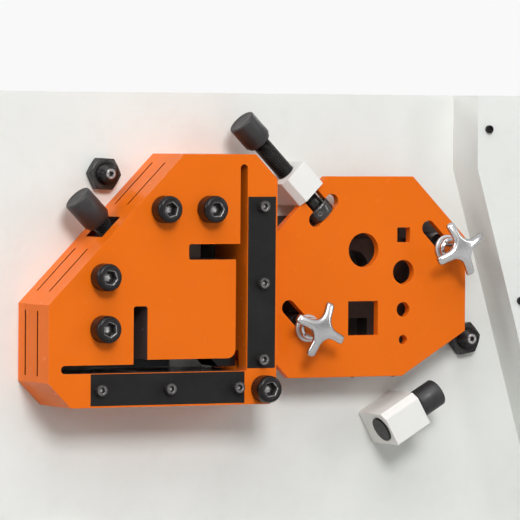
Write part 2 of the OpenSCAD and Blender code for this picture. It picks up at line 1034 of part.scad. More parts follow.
module gib_studs() {
    color("dimgray")
        for (g = [gib_left, gib_right])
            translate([corner_x + g.x, front_y - inner_d - pad_deep, corner_rise + g.y])
                rotate([90, 0, 0])
                    difference() {
                        union() {
                            cylinder(d = gib_d, h = gib_l - gib_point_l);
                            translate([0, 0, gib_l - gib_point_l])
                                cylinder(d1 = gib_d, d2 = gib_point_d, h = gib_point_l);
                        }
                        translate([0, 0, gib_l - gib_socket_deep])
                            cylinder(d = gib_socket_d, h = gib_socket_deep + over, $fn = 6);
                    }
}

module lock_nuts() {
    color("dimgray")
        for (g = [gib_left, gib_right])
            translate([corner_x + g.x, front_y, corner_rise + g.y])
                rotate([90, 0, 0])
                    difference() {
                        cylinder(d = nut_flat / cos(30), h = nut_t, $fn = 6);
                        translate([0, 0, -over])
                            cylinder(d = gib_d + 2 * run_gap, h = nut_t + 2 * over);
                    }
}

module gib_pads() {
    color("peru")
        for (g = [gib_left, gib_right])
            bar_at(g, beam_front_d + free_gap, inner_d + pad_deep, pad_d);
}

module rear_wear_pads() {
    color("peru")
        for (g = [gib_left, gib_right])
            bar_at(g, rear_inner_d, beam_rear_d - free_gap, wear_d);
}

module main_pivot_pin() {
    color("silver")
        bar_at(pivot, rear_d, 0, pivot_d);
}

module pivot_caps() {
    color("gainsboro")
        difference() {
            union() {
                bar_at(pivot, 0, cap_t, cap_d);
                bar_at(pivot, rear_d - cap_t, rear_d, cap_d);
            }
            pivot_cap_holes(rear_d - cap_t - over, cap_t + over);
        }
}

module pivot_cap_screws() {
    color("dimgray")
        for (k = [0:cap_screw_n - 1]) {
            p = cap_screw_place(k);
            station_screw(p, cap_t, cap_screw_d, cap_screw_d, cap_t + cap_screw_bite - free_gap);
            translate([corner_x + p.x, front_y - rear_d + cap_t, corner_rise + p.y])
                rotate([-90, 0, 0])
                    cap_screw(cap_screw_d, cap_screw_d, cap_t + cap_screw_bite - free_gap);
        }
}

// Fixed blades

module blade_screw_holes(places, back_d, front_d, dia = blade_screw_d) {
    for (p = places)
        bar_at(p, back_d - over, front_d + over, dia + 2 * run_gap);
}

// Flat-headed screw through a blade or its seat, the head's front face at a depth
module blade_screw(place, back_d, head_d, dia, head_dia) {
    bar_at(place, back_d, head_d - blade_head_t + free_gap, dia);
    bar_at(place, head_d - blade_head_t + free_gap, head_d, head_dia);
}

module fixed_blade_vertical() {
    color("slategray")
        difference() {
            slab(fixed_rear_d, fixed_front_d)
                fixed_post();
            blade_screw_holes(fixed_screw_places, fixed_rear_d, fixed_front_d);
        }
}

module fixed_blade_horizontal() {
    color("slategray")
        difference() {
            slab(fixed_rear_d, fixed_front_d)
                fixed_leg();
            blade_screw_holes(fixed_screw_places, fixed_rear_d, fixed_front_d);
        }
}

module fixed_blade_screws() {
    color("dimgray")
        union() {
            for (p = fixed_screw_places)
                blade_screw(p, fixed_rear_d + over, -free_gap, blade_screw_d, blade_head_d);
            for (p = bar_screw_places)
                blade_screw(p, fixed_rear_d + over, -free_gap, bar_screw_d, bar_head_d);
        }
}

module blade_bar_holes() {
    for (h = bar_holes)
        translate([h.x + bar_shift, h.y - bar_shift])
            hole_shape(h[2] - blade_less, h[3]);
}

module fixed_bar_blade() {
    color("slategray")
        difference() {
            slab(fixed_rear_d, fixed_front_d)
                difference() {
                    bar_blade_outline();
                    blade_bar_holes();
                }
            blade_screw_holes(bar_screw_places, fixed_rear_d, fixed_front_d, bar_screw_d);
        }
}

// Moving beam

module inner_blade_outline() {
    near = slot_w + edge_ease;
    wide = near + inner_blade_w;
    polygon([[-window_reach, near], [-near, near], [-near, window_reach], [-wide, window_reach],
        [-wide, wide], [-window_reach, wide]]);
}

moving_screw_places = [for (t = [inner_near_share, inner_far_share]) each [
    [-window_reach * t, slot_w + edge_ease + inner_blade_w / 2],
    [-slot_w - edge_ease - inner_blade_w / 2, window_reach * t]]];

module beam_outline() {
    boss = pivot_boss_d / 2;
    arm_x = bar_blade_x + bar_blade_w + beam_side;
    polygon([[pivot.x - boss * boss_share, pivot.y], [-window_reach - beam_margin, beam_waist_z],
        [-window_reach - beam_margin, gib_left.y - pad_d / 2], [gib_left.x - pad_d, beam_top_z],
        [gib_left.x + 2 * pad_d, beam_top_z], [beam_margin, bar_blade_z + bar_blade_h + beam_margin],
        [arm_x, bar_blade_z + bar_blade_h + beam_margin], [arm_x, arm_top_z],
        [rod_end.x + arm_end, arm_top_z], [rod_end.x + arm_end, arm_low_z],
        [arm_x + beam_margin, arm_low_z - beam_margin], [beam_margin, -2 * beam_margin],
        [pivot.x + boss * boss_share, pivot.y]]);
}

module moving_beam() {
    color("darkgray")
        difference() {
            union() {
                slab(beam_rear_d, beam_front_d)
                    beam_outline();
                bar_at(pivot, beam_rear_d, beam_front_d, pivot_boss_d);
            }
            slab(beam_rear_d - over, beam_front_d + over) {
                stock_window();
                bar_window();
            }
            slab(moving_rear_d, beam_front_d + over) {
                inner_blade_outline();
                bar_blade_outline();
            }
            blade_screw_holes(moving_screw_places, moving_rear_d - blade_bite, beam_front_d);
            blade_screw_holes(bar_screw_places, moving_rear_d - blade_bite, beam_front_d, bar_screw_d);
            bar_at(pivot, beam_rear_d - over, beam_front_d + over, pivot_d + 2 * bush_wall);
            slab(mid_d - fork_gap / 2, mid_d + fork_gap / 2)
                translate([rod_end.x - rod_eye_d, rod_end.y - rod_eye_d * fork_drop_share])
                    square([2 * rod_eye_d, 2 * rod_eye_d]);
            bar_at(rod_end, beam_rear_d - over, beam_front_d + over, rod_pin_d + 2 * run_gap);
        }
}

module pivot_bush() {
    color("peru")
        difference() {
            bar_at(pivot, beam_rear_d, beam_front_d, pivot_d + 2 * bush_wall);
            bar_at(pivot, beam_rear_d - over, beam_front_d + over, pivot_d + 2 * run_gap);
        }
}

module moving_angle_blade() {
    color("slategray")
        difference() {
            slab(moving_rear_d, moving_front_d)
                inner_blade_outline();
            blade_screw_holes(moving_screw_places, moving_rear_d, moving_front_d);
            for (p = moving_screw_places)
                bar_at(p, moving_front_d - blade_head_t, moving_front_d + over, blade_head_d + 2 * run_gap);
        }
}

module moving_bar_blade() {
    color("slategray")
        difference() {
            slab(moving_rear_d, moving_front_d)
                difference() {
                    bar_blade_outline();
                    blade_bar_holes();
                }
            blade_screw_holes(bar_screw_places, moving_rear_d, moving_front_d, bar_screw_d);
            for (p = bar_screw_places)
                bar_at(p, moving_front_d - blade_head_t, moving_front_d + over, bar_head_d + 2 * run_gap);
        }
}

module moving_blade_screws() {
    color("dimgray")
        union() {
            for (p = moving_screw_places)
                blade_screw(p, moving_rear_d - blade_bite, moving_front_d - free_gap, blade_screw_d,
                    blade_head_d);
            for (p = bar_screw_places)
                blade_screw(p, moving_rear_d - blade_bite, moving_front_d - free_gap, bar_screw_d,
                    bar_head_d);
        }
}

module rod_pin() {
    color("silver")
        bar_at(rod_end, beam_rear_d, beam_front_d, rod_pin_d);
}

// Hydraulic cylinder, hung from the frame and pushing the beam down

module cylinder_pin() {
    color("silver")
        bar_at(cyl_top, rear_d, 0, cyl_pin_d);
}

module barrel_axis() {
    translate([corner_x + cyl_top.x, front_y - mid_d, corner_rise])
        children();
}

module cylinder_barrel() {
    color("steelblue")
        difference() {
            union() {
                barrel_axis()
                    translate([0, 0, barrel_bottom_z])
                        cylinder(d = barrel_d, h = barrel_top_z - barrel_bottom_z);
                bar_at(cyl_top, mid_d - cyl_eye_w / 2, mid_d + cyl_eye_w / 2, cyl_eye_d);
                slab(mid_d - cyl_eye_w / 2, mid_d + cyl_eye_w / 2)
                    translate([cyl_top.x - cyl_eye_d / 2, barrel_top_z - over])
                        square([cyl_eye_d, cyl_top.y - barrel_top_z + over]);
                for (z = [barrel_top_z - port_inset - barrel_end_t, barrel_bottom_z + port_inset + gland_t])
                    bar_at([cyl_top.x, z], mid_d, mid_d + barrel_d / 2 + port_h, port_d);
            }
            barrel_axis()
                translate([0, 0, barrel_bottom_z - over])
                    cylinder(d = barrel_d - 2 * barrel_wall,
                        h = barrel_top_z - barrel_end_t - barrel_bottom_z + over);
            for (z = [barrel_top_z - port_inset - barrel_end_t, barrel_bottom_z + port_inset + gland_t])
                bar_at([cyl_top.x, z], mid_d, mid_d + barrel_d / 2 + port_h + over, port_bore_d);
            bar_at(cyl_top, mid_d - cyl_eye_w, mid_d + cyl_eye_w, cyl_pin_d + 2 * run_gap);
        }
}

module cylinder_gland() {
    color("dimgray")
        barrel_axis()
            translate([0, 0, barrel_bottom_z])
                difference() {
                    cylinder(d = barrel_d - 2 * barrel_wall - 2 * run_gap, h = gland_t);
                    translate([0, 0, -over])
                        cylinder(d = rod_d + 2 * run_gap, h = gland_t + 2 * over);
                }
}

piston_top_z = barrel_top_z - barrel_end_t - piston_up;

module piston_rod() {
    color("silver")
        difference() {
            union() {
                barrel_axis()
                    translate([0, 0, rod_end.y])
                        cylinder(d = rod_d, h = piston_top_z - piston_t - rod_end.y);
                bar_at(rod_end, mid_d - rod_eye_w / 2, mid_d + rod_eye_w / 2, rod_eye_d);
            }
            bar_at(rod_end, mid_d - rod_eye_w, mid_d + rod_eye_w, rod_pin_d + 2 * rod_eye_ease);
            for (s = [-1, 1])
                slab(mid_d + s * (rod_eye_w + rod_eye_d) / 2 - rod_eye_d / 2,
                    mid_d + s * (rod_eye_w + rod_eye_d) / 2 + rod_eye_d / 2)
                    translate(rod_end)
                        square(rod_eye_d, center = true);
        }
}

module piston() {
    color("dimgray")
        barrel_axis()
            translate([0, 0, piston_top_z - piston_t])
                cylinder(d = barrel_d - 2 * barrel_wall - 2 * run_gap, h = piston_t);
}

// Side cover over the cylinder

module cover_outline(wall) {
    lean_wall = wall * sqrt(1 + cover_lean * cover_lean);
    polygon([[cover_left + wall, top_z - wall], [cover_left + wall, cover_knee_z],
        [cover_x(cover_low_z) + lean_wall, cover_low_z + wall], [right_x - wall, cover_low_z + wall],
        [right_x - wall, top_z - wall]]);
}

module side_cover() {
    color("gainsboro")
        difference() {
            slab(0, cover_rise)
                cover_outline(0);
            slab(-over, cover_rise - cover_wall)
                cover_outline(cover_wall);
            for (p = cover_points)
                bar_at(p, 0, cover_rise + over, cover_screw_d + 2 * run_gap);
        }
}

module cover_posts() {
    color("gray")
        difference() {
            for (p = cover_points)
                bar_at(p, 0, cover_rise - cover_wall, post_d);
            for (p = cover_points)
                bar_at(p, cover_rise / 2, cover_rise, cover_screw_d + 2 * run_gap);
        }
}

module cover_screws() {
    color("dimgray")
        for (p = cover_points)
            station_screw(p, cover_rise, cover_screw_d, cover_head_h, cover_rise / 2 - free_gap);
}

// Rear guard, a flap that the cut pieces push open

module guard_axis(x) {
    along([x, guard_pin_z], guard_d, 0)
        children();
}

module guard_brackets() {
    color("gainsboro")
        difference() {
            for (x = [guard_left - guard_gap - bracket_t, guard_right + guard_gap]) {
                guard_axis(x)
                    cylinder(d = bracket_h, h = bracket_t);
                slab(guard_d, rear_d)
                    translate([x, guard_pin_z - bracket_h / 2])
                        square([bracket_t, bracket_h]);
            }
            guard_axis(guard_left - guard_gap - bracket_t - over)
                cylinder(d = guard_pin_d + 2 * run_gap,
                    h = guard_right - guard_left + 2 * (guard_gap + bracket_t + over));
        }
}

module guard_pin() {
    color("silver")
        guard_axis(guard_left - guard_gap - bracket_t)
            cylinder(d = guard_pin_d, h = guard_right - guard_left + 2 * (guard_gap + bracket_t));
}

module rear_guard() {
    color("gainsboro")
        difference() {
            union() {
                slab(guard_d - guard_t / 2, guard_d + guard_t / 2)
                    translate([guard_left, guard_low_z])
                        square([guard_right - guard_left, guard_pin_z - guard_low_z]);
                guard_axis(guard_left)
                    cylinder(d = guard_tube_d, h = guard_right - guard_left);
            }
            guard_axis(guard_left - over)
                cylinder(d = guard_pin_d + 2 * run_gap, h = guard_right - guard_left + 2 * over);
        }
}

front_frame_plate();
rear_frame_plate();
base_plate();
left_spacer();
right_spacer();
top_spacer();
side_cover();
cover_posts();
cover_screws();
gib_studs();
lock_nuts();
gib_pads();
rear_wear_pads();
main_pivot_pin();
pivot_caps();
pivot_cap_screws();
guide_rear_plate();
guide_middle_plate();
guide_front_plate();
guide_screws();
vertical_rail();
horizontal_rail();
rail_screws();
clamp_nut();
fixed_blade_vertical();
fixed_blade_horizontal();
fixed_blade_screws();
fixed_bar_blade();
bar_clamp_block();
clamp_studs();
stud_sleeves();
lower_clamp_block();
cylinder_pin();
moving_beam();
pivot_bush();
moving_angle_blade();
moving_bar_blade();
moving_blade_screws();
rod_pin();
cylinder_barrel();
cylinder_gland();
piston_rod();
piston();
angle_clamp_foot();
angle_clamp_screw();
angle_clamp_knob();
bar_clamp_plate();
bar_clamp_screw();
bar_clamp_collar();
bar_clamp_knob();
star_washer_left();
star_knob_left();
star_washer_right();
star_knob_right();
lower_clamp_foot();
lower_clamp_screw();
lower_clamp_knob();
guard_brackets();
guard_pin();
rear_guard();
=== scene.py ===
# %% [markdown]
# # The shear head of an ironworker
#
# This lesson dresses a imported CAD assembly: the angle and bar shear station of an ironworker.
# The CAD gives every piece its true place and size. Here the pieces get what CAD leaves out:
# broken edges, threads, knurls, cast curves, paint, oil and light.
#
# New pieces are surfaces that numpy computes from a formula. A piece that only needs softer
# edges keeps its CAD mesh and gets a bevel.

import json
import math

import bpy
import numpy as np
from mathutils import Matrix, Vector


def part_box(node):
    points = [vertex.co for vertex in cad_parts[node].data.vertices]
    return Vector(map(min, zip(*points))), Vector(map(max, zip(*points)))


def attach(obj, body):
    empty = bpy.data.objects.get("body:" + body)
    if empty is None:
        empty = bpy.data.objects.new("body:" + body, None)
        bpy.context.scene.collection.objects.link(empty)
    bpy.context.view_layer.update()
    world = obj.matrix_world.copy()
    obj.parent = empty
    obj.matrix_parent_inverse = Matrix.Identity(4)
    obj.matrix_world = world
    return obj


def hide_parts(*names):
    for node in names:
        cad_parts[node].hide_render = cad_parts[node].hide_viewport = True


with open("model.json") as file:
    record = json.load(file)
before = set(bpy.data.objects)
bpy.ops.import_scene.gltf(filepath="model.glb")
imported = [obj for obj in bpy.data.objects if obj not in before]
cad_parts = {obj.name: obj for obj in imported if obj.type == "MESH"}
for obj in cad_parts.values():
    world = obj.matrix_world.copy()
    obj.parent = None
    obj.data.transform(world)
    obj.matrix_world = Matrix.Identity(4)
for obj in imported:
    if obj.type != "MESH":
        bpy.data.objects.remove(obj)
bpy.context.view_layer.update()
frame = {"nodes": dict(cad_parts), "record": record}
scene = bpy.context.scene

# %% [markdown]
# ## One set of coordinates
#
# The station is drawn from its stock corner, the point where the outer faces of an angle bar
# meet. `spot` turns a place on the station (across, up, and forward of the frame's front face,
# all in millimetres) into the metres of the shared frame. `looking` stands a piece at a place
# with its own axis along any direction.

# %% Station coordinates
CORNER = np.array([-78.0, -75.0, 326.0])
OUT = (0.0, -1.0, 0.0)


def spot(across, up, forward):
    """A station place in millimetres as a point of the shared frame in metres."""
    return Vector((CORNER + np.array([across, -forward, up])) / 1000.0)


def looking(origin, direction, turn=0.0):
    """A matrix whose local +Z points along direction, turned about it by an angle in degrees."""
    z = Vector(direction).normalized()
    hint = Vector((0, 0, 1)) if abs(z.z) < 0.9 else Vector((1, 0, 0))
    x = hint.cross(z).normalized()
    y = z.cross(x)
    m = Matrix((x, y, z)).transposed().to_4x4()
    m.translation = origin
    return m @ Matrix.Rotation(math.radians(turn), 4, "Z")


print("stock corner at", tuple(round(v, 3) for v in spot(0, 0, 0)))

# %% [markdown]
# ## Turning rows of numbers into a surface
#
# Most of the hardware is round: screws, nuts, knobs, washers. Each is described as a stack of
# rings. A ring is a radius and a height for every angle, so a hexagon, a knurl or a thread is
# only a different radius formula. `stack` joins the rings with quads and closes both ends with
# a fan about a middle point. A row may also say how worn its ring is.

# %% Ring stacks
def angles(n):
    """n equal angles round a full turn."""
    return np.arange(n) * (2 * math.pi / n)


def hexagon(n, flats):
    """Radius of a hexagon of that width across flats at n angles, a corner at angle zero:
    half the width over the cosine of the angle from the middle of the nearest flat."""
    off = (angles(n) % (math.pi / 3)) - math.pi / 6
    return flats / 2 / np.cos(off)


def stack(rows, n, close_start=True, close_end=True, middles=(0.0, 0.0)):
    """Points, faces and wear of a stack of rings. A row is (radius, height) or (radius, height,
    wear). Radius and height are a number or one value for each angle, and a point is (radius cos
    angle, radius sin angle, height). Middles are the wear of the points that close the ends."""
    a, k = angles(n), np.arange(n)
    nxt, last = (k + 1) % n, len(rows) - 1
    radius, height = (np.stack([np.broadcast_to(row[i], n) for row in rows]) for i in (0, 1))
    points = np.stack([radius * np.cos(a), radius * np.sin(a), height], -1).reshape(-1, 3)
    low = n * np.arange(last)[:, None]
    high = low + n
    faces = [np.stack([low + k, low + nxt, high + nxt, high + k], -1).reshape(-1, 4)]
    worn = []
    ends = ((close_start, 0, nxt, k), (close_end, last, k, nxt))
    for (closed, ring, first, second), wear in zip(ends, middles):
        if closed:
            middle = np.full(n, len(points))
            faces.append(np.stack([middle, ring * n + first, ring * n + second], 1))
            points = np.vstack([points, [0.0, 0.0, np.mean(rows[ring][1])]])
            worn.append(wear)
    if len(rows[0]) < 3:
        return points, faces, None
    return points, faces, np.append(np.repeat([row[2] for row in rows], n), worn)


rod = stack([(1.0, 0.0), (1.0, 2.0)], 6)
print("a six-sided rod has", len(rod[0]), "points and", sum(len(rows) for rows in rod[1]), "faces")

# %% [markdown]
# ## From a surface to a piece
#
# A surface in millimetres becomes one mesh, with a copy at each of its places. The mesh stays at
# the origin, so its object coordinates are metres of the shared frame, and it rides the body of
# the CAD node that it stands for.

# %% Pieces
FINISH = {}


def piece(name, surface, places, body, slot, stands_for=(), sharp=35, finish=None):
    """Makes one mesh of a surface at each of its places, puts it on its CAD body and hides the CAD nodes
    that it stands for. Wear, one number for each point, is kept as an attribute that the finish can
    read."""
    points, faces, wear = surface
    turns = [np.array(m) for m in places]
    verts = np.concatenate([points / 1000.0 @ m[:3, :3].T + m[:3, 3] for m in turns])
    copies = [rows + i * len(points) for i in range(len(turns)) for rows in faces]
    mesh = bpy.data.meshes.new(name)
    mesh.from_pydata(verts.tolist(), [], [face for rows in copies for face in rows.tolist()])
    mesh.shade_smooth()
    mesh.set_sharp_from_angle(angle=math.radians(sharp))
    mesh.validate()
    if wear is not None:
        worn = np.tile(wear, len(turns)).astype(np.float32)
        mesh.attributes.new("wear", "FLOAT", "POINT").data.foreach_set("value", worn)
    obj = bpy.data.objects.new(name, mesh)
    scene.collection.objects.link(obj)
    mesh.materials.append(FINISH[finish or slot])
    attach(obj, body)
    if stands_for:
        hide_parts(*stands_for)
    print(name, len(mesh.vertices), "points on", body)


# %% [markdown]
# ## Finishes
#
# Every finish is a small node graph on object coordinates. A picture could give the same look
# from one side, but noise in space has no seams and needs no unwrapping. These helpers keep the
# graphs short: `wire` adds a node, `noise` and `remap` make masks, and `blend` mixes colours.

# %% Node helpers
GRAIN_DEPTH = 0.0002


def feed(tree, node, values):
    """Links each value that is a socket to the input of that name or number, sets the others."""
    for key, value in values.items():
        if isinstance(value, bpy.types.NodeSocket):
            tree.links.new(value, node.inputs[key])
        else:
            node.inputs[key].default_value = value


def wire(tree, kind, values, operation=None):
    """Adds a node with its operation and its inputs."""
    node = tree.nodes.new(kind)
    if operation:
        node.operation = operation
    feed(tree, node, values)
    return node


def finish_graph(name):
    """Starts a finish: a material with an output, a Principled shader and object coordinates."""
    FINISH[name] = bpy.data.materials.new(name)
    FINISH[name].use_nodes = True
    t = FINISH[name].node_tree
    t.nodes.clear()
    out = t.nodes.new("ShaderNodeOutputMaterial")
    shader = t.nodes.new("ShaderNodeBsdfPrincipled")
    t.links.new(shader.outputs[0], out.inputs[0])
    place = t.nodes.new("ShaderNodeTexCoord").outputs["Object"]
    return t, shader, place


def noise(t, place, scale, detail=3.0, rough=0.5):
    """Cloudy values about one half, scale times to the metre."""
    values = {"Vector": place, "Scale": scale, "Detail": detail, "Roughness": rough}
    return wire(t, "ShaderNodeTexNoise", values).outputs["Fac"]


def remap(t, value, from_low, from_high, to_low, to_high):
    """Stretches one range of values onto another and holds its ends."""
    return wire(t, "ShaderNodeMapRange", {"Value": value, "From Min": from_low, "From Max": from_high,
                                          "To Min": to_low, "To Max": to_high}).outputs[0]


def maths(t, operation, first, second=0.0):
    """One arithmetic node on two values or sockets."""
    return wire(t, "ShaderNodeMath", {0: first, 1: second}, operation).outputs[0]


def blend(t, amount, first, second):
    """Mixes two colours, each a socket or three numbers."""
    n = t.nodes.new("ShaderNodeMix")
    n.data_type = "RGBA"
    colours = [c if isinstance(c, bpy.types.NodeSocket) else (*c, 1) for c in (first, second)]
    feed(t, n, {0: amount, 6: colours[0], 7: colours[1]})
    return n.outputs[2]


def bump(t, height, strength):
    """A normal that follows small heights."""
    values = {"Height": height, "Strength": strength, "Distance": GRAIN_DEPTH}
    return wire(t, "ShaderNodeBump", values).outputs[0]


print("one unit of noise is a metre, and a grain is", GRAIN_DEPTH * 1000, "mm deep")

# %% [markdown]
# ## Paint
#
# The frame, the guide and the white blocks are sprayed with enamel. One flat colour would make them
# look like plastic, so paint has a wide tone drift, a fine orange-peel bump, a film of dust on what
# faces up, and a low specular level, because workshop enamel shines mostly at grazing angles.

# %% Paint
ORANGE_PEEL = 0.1


def painted(t, shader, place, tone, second, dust, rough, shine):
    """Wires paint into a shader and returns its colour socket before it is linked."""
    drift = remap(t, noise(t, place, 7.0, 2.0), 0.35, 0.65, 0.0, 1.0)
    normal = t.nodes.new("ShaderNodeNewGeometry").outputs["Normal"]
    upward = wire(t, "ShaderNodeSeparateXYZ", {"Vector": normal}).outputs["Z"]
    level = remap(t, upward, 0.8, 0.98, 0.0, 0.35)
    settled = maths(t, "MULTIPLY", level, noise(t, place, 90.0, 5.0, 0.7))
    film = remap(t, noise(t, place, 38.0, 6.0, 0.62), 0.5, 0.8, 0.0, 0.16)
    spread = remap(t, noise(t, place, 60.0, 4.0), 0.3, 0.7, rough - 0.05, rough + 0.08)
    peel = bump(t, noise(t, place, 950.0, 2.0), ORANGE_PEEL)
    feed(t, shader, {"Roughness": spread, "Normal": peel, "Specular IOR Level": shine})
    return blend(t, maths(t, "ADD", film, settled), blend(t, drift, tone, second), dust)


def paint(name, tone, second, dust, rough, shine=0.2):
    """Plain paint of two close tones."""
    t, shader, place = finish_graph(name)
    feed(t, shader, {"Base Color": painted(t, shader, place, tone, second, dust, rough, shine)})


print("paint has an orange peel of", ORANGE_PEEL)

# %% [markdown]
# ## Steel, plastic and chrome
#
# Bare steel has a drawn grain and patches of oil, and blackened steel is the same graph with
# little or no metal in it. Where a piece carries wear, the black is rubbed through to bright
# metal, with ragged edges. Knobs are moulded with a fine texture. The stars are chromed
# castings, almost even, with slow changes of tone and roughness.

# %% Steel, plastic and chrome
DRAWN = (60.0, 60.0, 2400.0)


def steel(name, tone, second, rough, metal=1.0, grip=0.05, worn=None, shine=0.5):
    """Steel with a drawn grain. Where the piece is worn it goes towards the worn tone."""
    t, shader, place = finish_graph(name)
    stretched = wire(t, "ShaderNodeMapping", {"Vector": place, "Scale": DRAWN}).outputs[0]
    lines = noise(t, stretched, 1.0, 3.0)
    patch = remap(t, noise(t, place, 26.0, 4.0, 0.6), 0.4, 0.68, 0.0, 1.0)
    colour = blend(t, patch, tone, second)
    if worn:
        mark = t.nodes.new("ShaderNodeAttribute")
        mark.attribute_name = "wear"
        torn = remap(t, noise(t, place, 420.0, 4.0), 0.3, 0.6, 0.35, 1.0)
        ragged = maths(t, "MULTIPLY", mark.outputs["Fac"], torn)
        colour = blend(t, ragged, colour, worn)
        metal = maths(t, "MAXIMUM", ragged, metal)
    feed(t, shader, {
        "Base Color": colour, "Metallic": metal, "Specular IOR Level": shine,
        "Roughness": remap(t, lines, 0.25, 0.75, rough - 0.07, rough + 0.1),
        "Normal": bump(t, lines, grip)})


def plastic(name, tone, second, rough, shine):
    """Moulded plastic with a fine texture."""
    t, shader, place = finish_graph(name)
    cloud = remap(t, noise(t, place, 90.0, 4.0), 0.35, 0.7, 0.0, 1.0)
    feed(t, shader, {
        "Base Color": blend(t, cloud, tone, second), "Specular IOR Level": shine,
        "Roughness": remap(t, noise(t, place, 140.0), 0.3, 0.7, rough - 0.06, rough + 0.08),
        "Normal": bump(t, noise(t, place, 1600.0, 2.0), 0.12)})


def cast_chrome(name, tone, second, rough):
    """A barrel-polished casting: almost even, with slow changes of tone and of roughness."""
    t, shader, place = finish_graph(name)
    slow = remap(t, noise(t, place, 34.0, 1.0), 0.3, 0.7, 0.0, 1.0)
    feed(t, shader, {
        "Base Color": blend(t, slow, tone, second), "Metallic": 1.0,
        "Roughness": remap(t, noise(t, place, 70.0, 1.0), 0.3, 0.7, rough - 0.03, rough + 0.03)})


print("the grain of steel changes", DRAWN[2] / DRAWN[0], "times faster upwards than across")

# %% [markdown]
# ## Orange paint with bare slots
#
# The guide is painted after it is bolted together, so its slots stay bare and oily, all but the wide
# face that the upright leg of the stock runs against, which the spray reaches. Its seam grooves are
# coloured a deep orange-brown, as painted shade in the grooves.
# A material can find the bare places from the shape alone: a point of the guide is bare where it
# lies inside the outline, behind the front face and left of that wall. The outline is convex, so
# the distance inside is the least distance to any of its sides.

# %% Guide paint
GUIDE_OUTLINE = [(-241, 74.37), (-78.37, 237), (10, 237), (37, 210),
                 (37, -29), (29, -37), (-214, -37), (-241, -10)]
GUIDE_FRONT = 76.0
SEAMS = (18.0, 48.0)
PAINTED_WALL = -1.6


def inside_outline(t, place, corners):
    """Distance inside a convex outline of the station, in metres: for each side, its offset minus
    the dot product of the place and the side's outward normal, and then the least of them all."""
    least = None
    for (x0, z0), (x1, z1) in zip(corners, corners[1:] + corners[:1]):
        side = Vector((x1 - x0, 0.0, z1 - z0)).normalized()
        outward = Vector((-side.z, 0.0, side.x))
        along = wire(t, "ShaderNodeVectorMath", {0: place, 1: outward}, "DOT_PRODUCT")
        depth = maths(t, "SUBTRACT", outward.dot(spot(x0, z0, 0)), along.outputs["Value"])
        least = depth if least is None else maths(t, "MINIMUM", least, depth)
    return least


def slotted_paint(name, tone, second, dust, bare, groove_shade, rough, shine):
    """Paint that is bare in the guide's slots, with painted shade in the grooves of its two seams."""
    t, shader, place = finish_graph(name)
    colour = painted(t, shader, place, tone, second, dust, rough, shine)
    inward = inside_outline(t, place, GUIDE_OUTLINE)
    axes = wire(t, "ShaderNodeSeparateXYZ", {"Vector": place}).outputs
    front, wall = spot(0, 0, GUIDE_FRONT).y, spot(PAINTED_WALL, 0, 0).x
    mask = maths(t, "MULTIPLY", remap(t, inward, 0.0007, 0.0011, 0.0, 1.0),
                 remap(t, axes["Y"], front + 0.0007, front + 0.0013, 0.0, 1.0))
    mask = maths(t, "MULTIPLY", mask, remap(t, axes["X"], wall, wall + 0.0004, 1.0, 0.0))
    colour = blend(t, mask, colour, bare)
    # the seam grooves, and a band a few millimetres wide along them, go to a deep orange-brown: painted
    # shade in the grooves
    shallow = maths(t, "MULTIPLY", remap(t, inward, 0.00003, 0.0002, 0.0, 1.0),
                    remap(t, inward, 0.006, 0.007, 1.0, 0.0))
    for seam in SEAMS:
        off = maths(t, "ABSOLUTE", maths(t, "SUBTRACT", axes["Y"], spot(0, 0, seam).y))
        seam_shade = maths(t, "MULTIPLY", remap(t, off, 0.0026, 0.0029, 1.0, 0.0), shallow)
        colour = blend(t, seam_shade, colour, groove_shade)
    feed(t, shader, {"Base Color": colour})


print("the guide's outline has", len(GUIDE_OUTLINE), "sides and", len(SEAMS), "seams")

# %% [markdown]
# ## Grey paint with a bare seat
#
# Behind the clamp plate the frame is machined flat for the bar blades, and round the right stud it is
# spot-faced. Both are drawn as unpainted steel in a near-black tone, which is painted shade for what
# shows through the holes of the plate.
# The seat is a rectangle, so a point lies on it where both of its distances from the middle are small
# enough. The rest of the grey has faint darker upright streaks, painted to stand for soft reflections on
# the sheet, and grit splashed up from the floor.

# %% Frame paint
SEAT_LEFT, SEAT_RIGHT, SEAT_LOW, SEAT_HIGH = 78, 258, 2, 168
SPOT_FACE, SPOT_FACE_R = (266, 140), 22
FRONT_PLATE_BACK = -31
REFLECTION_STREAK_STRETCH = (11.0, 11.0, 0.9)


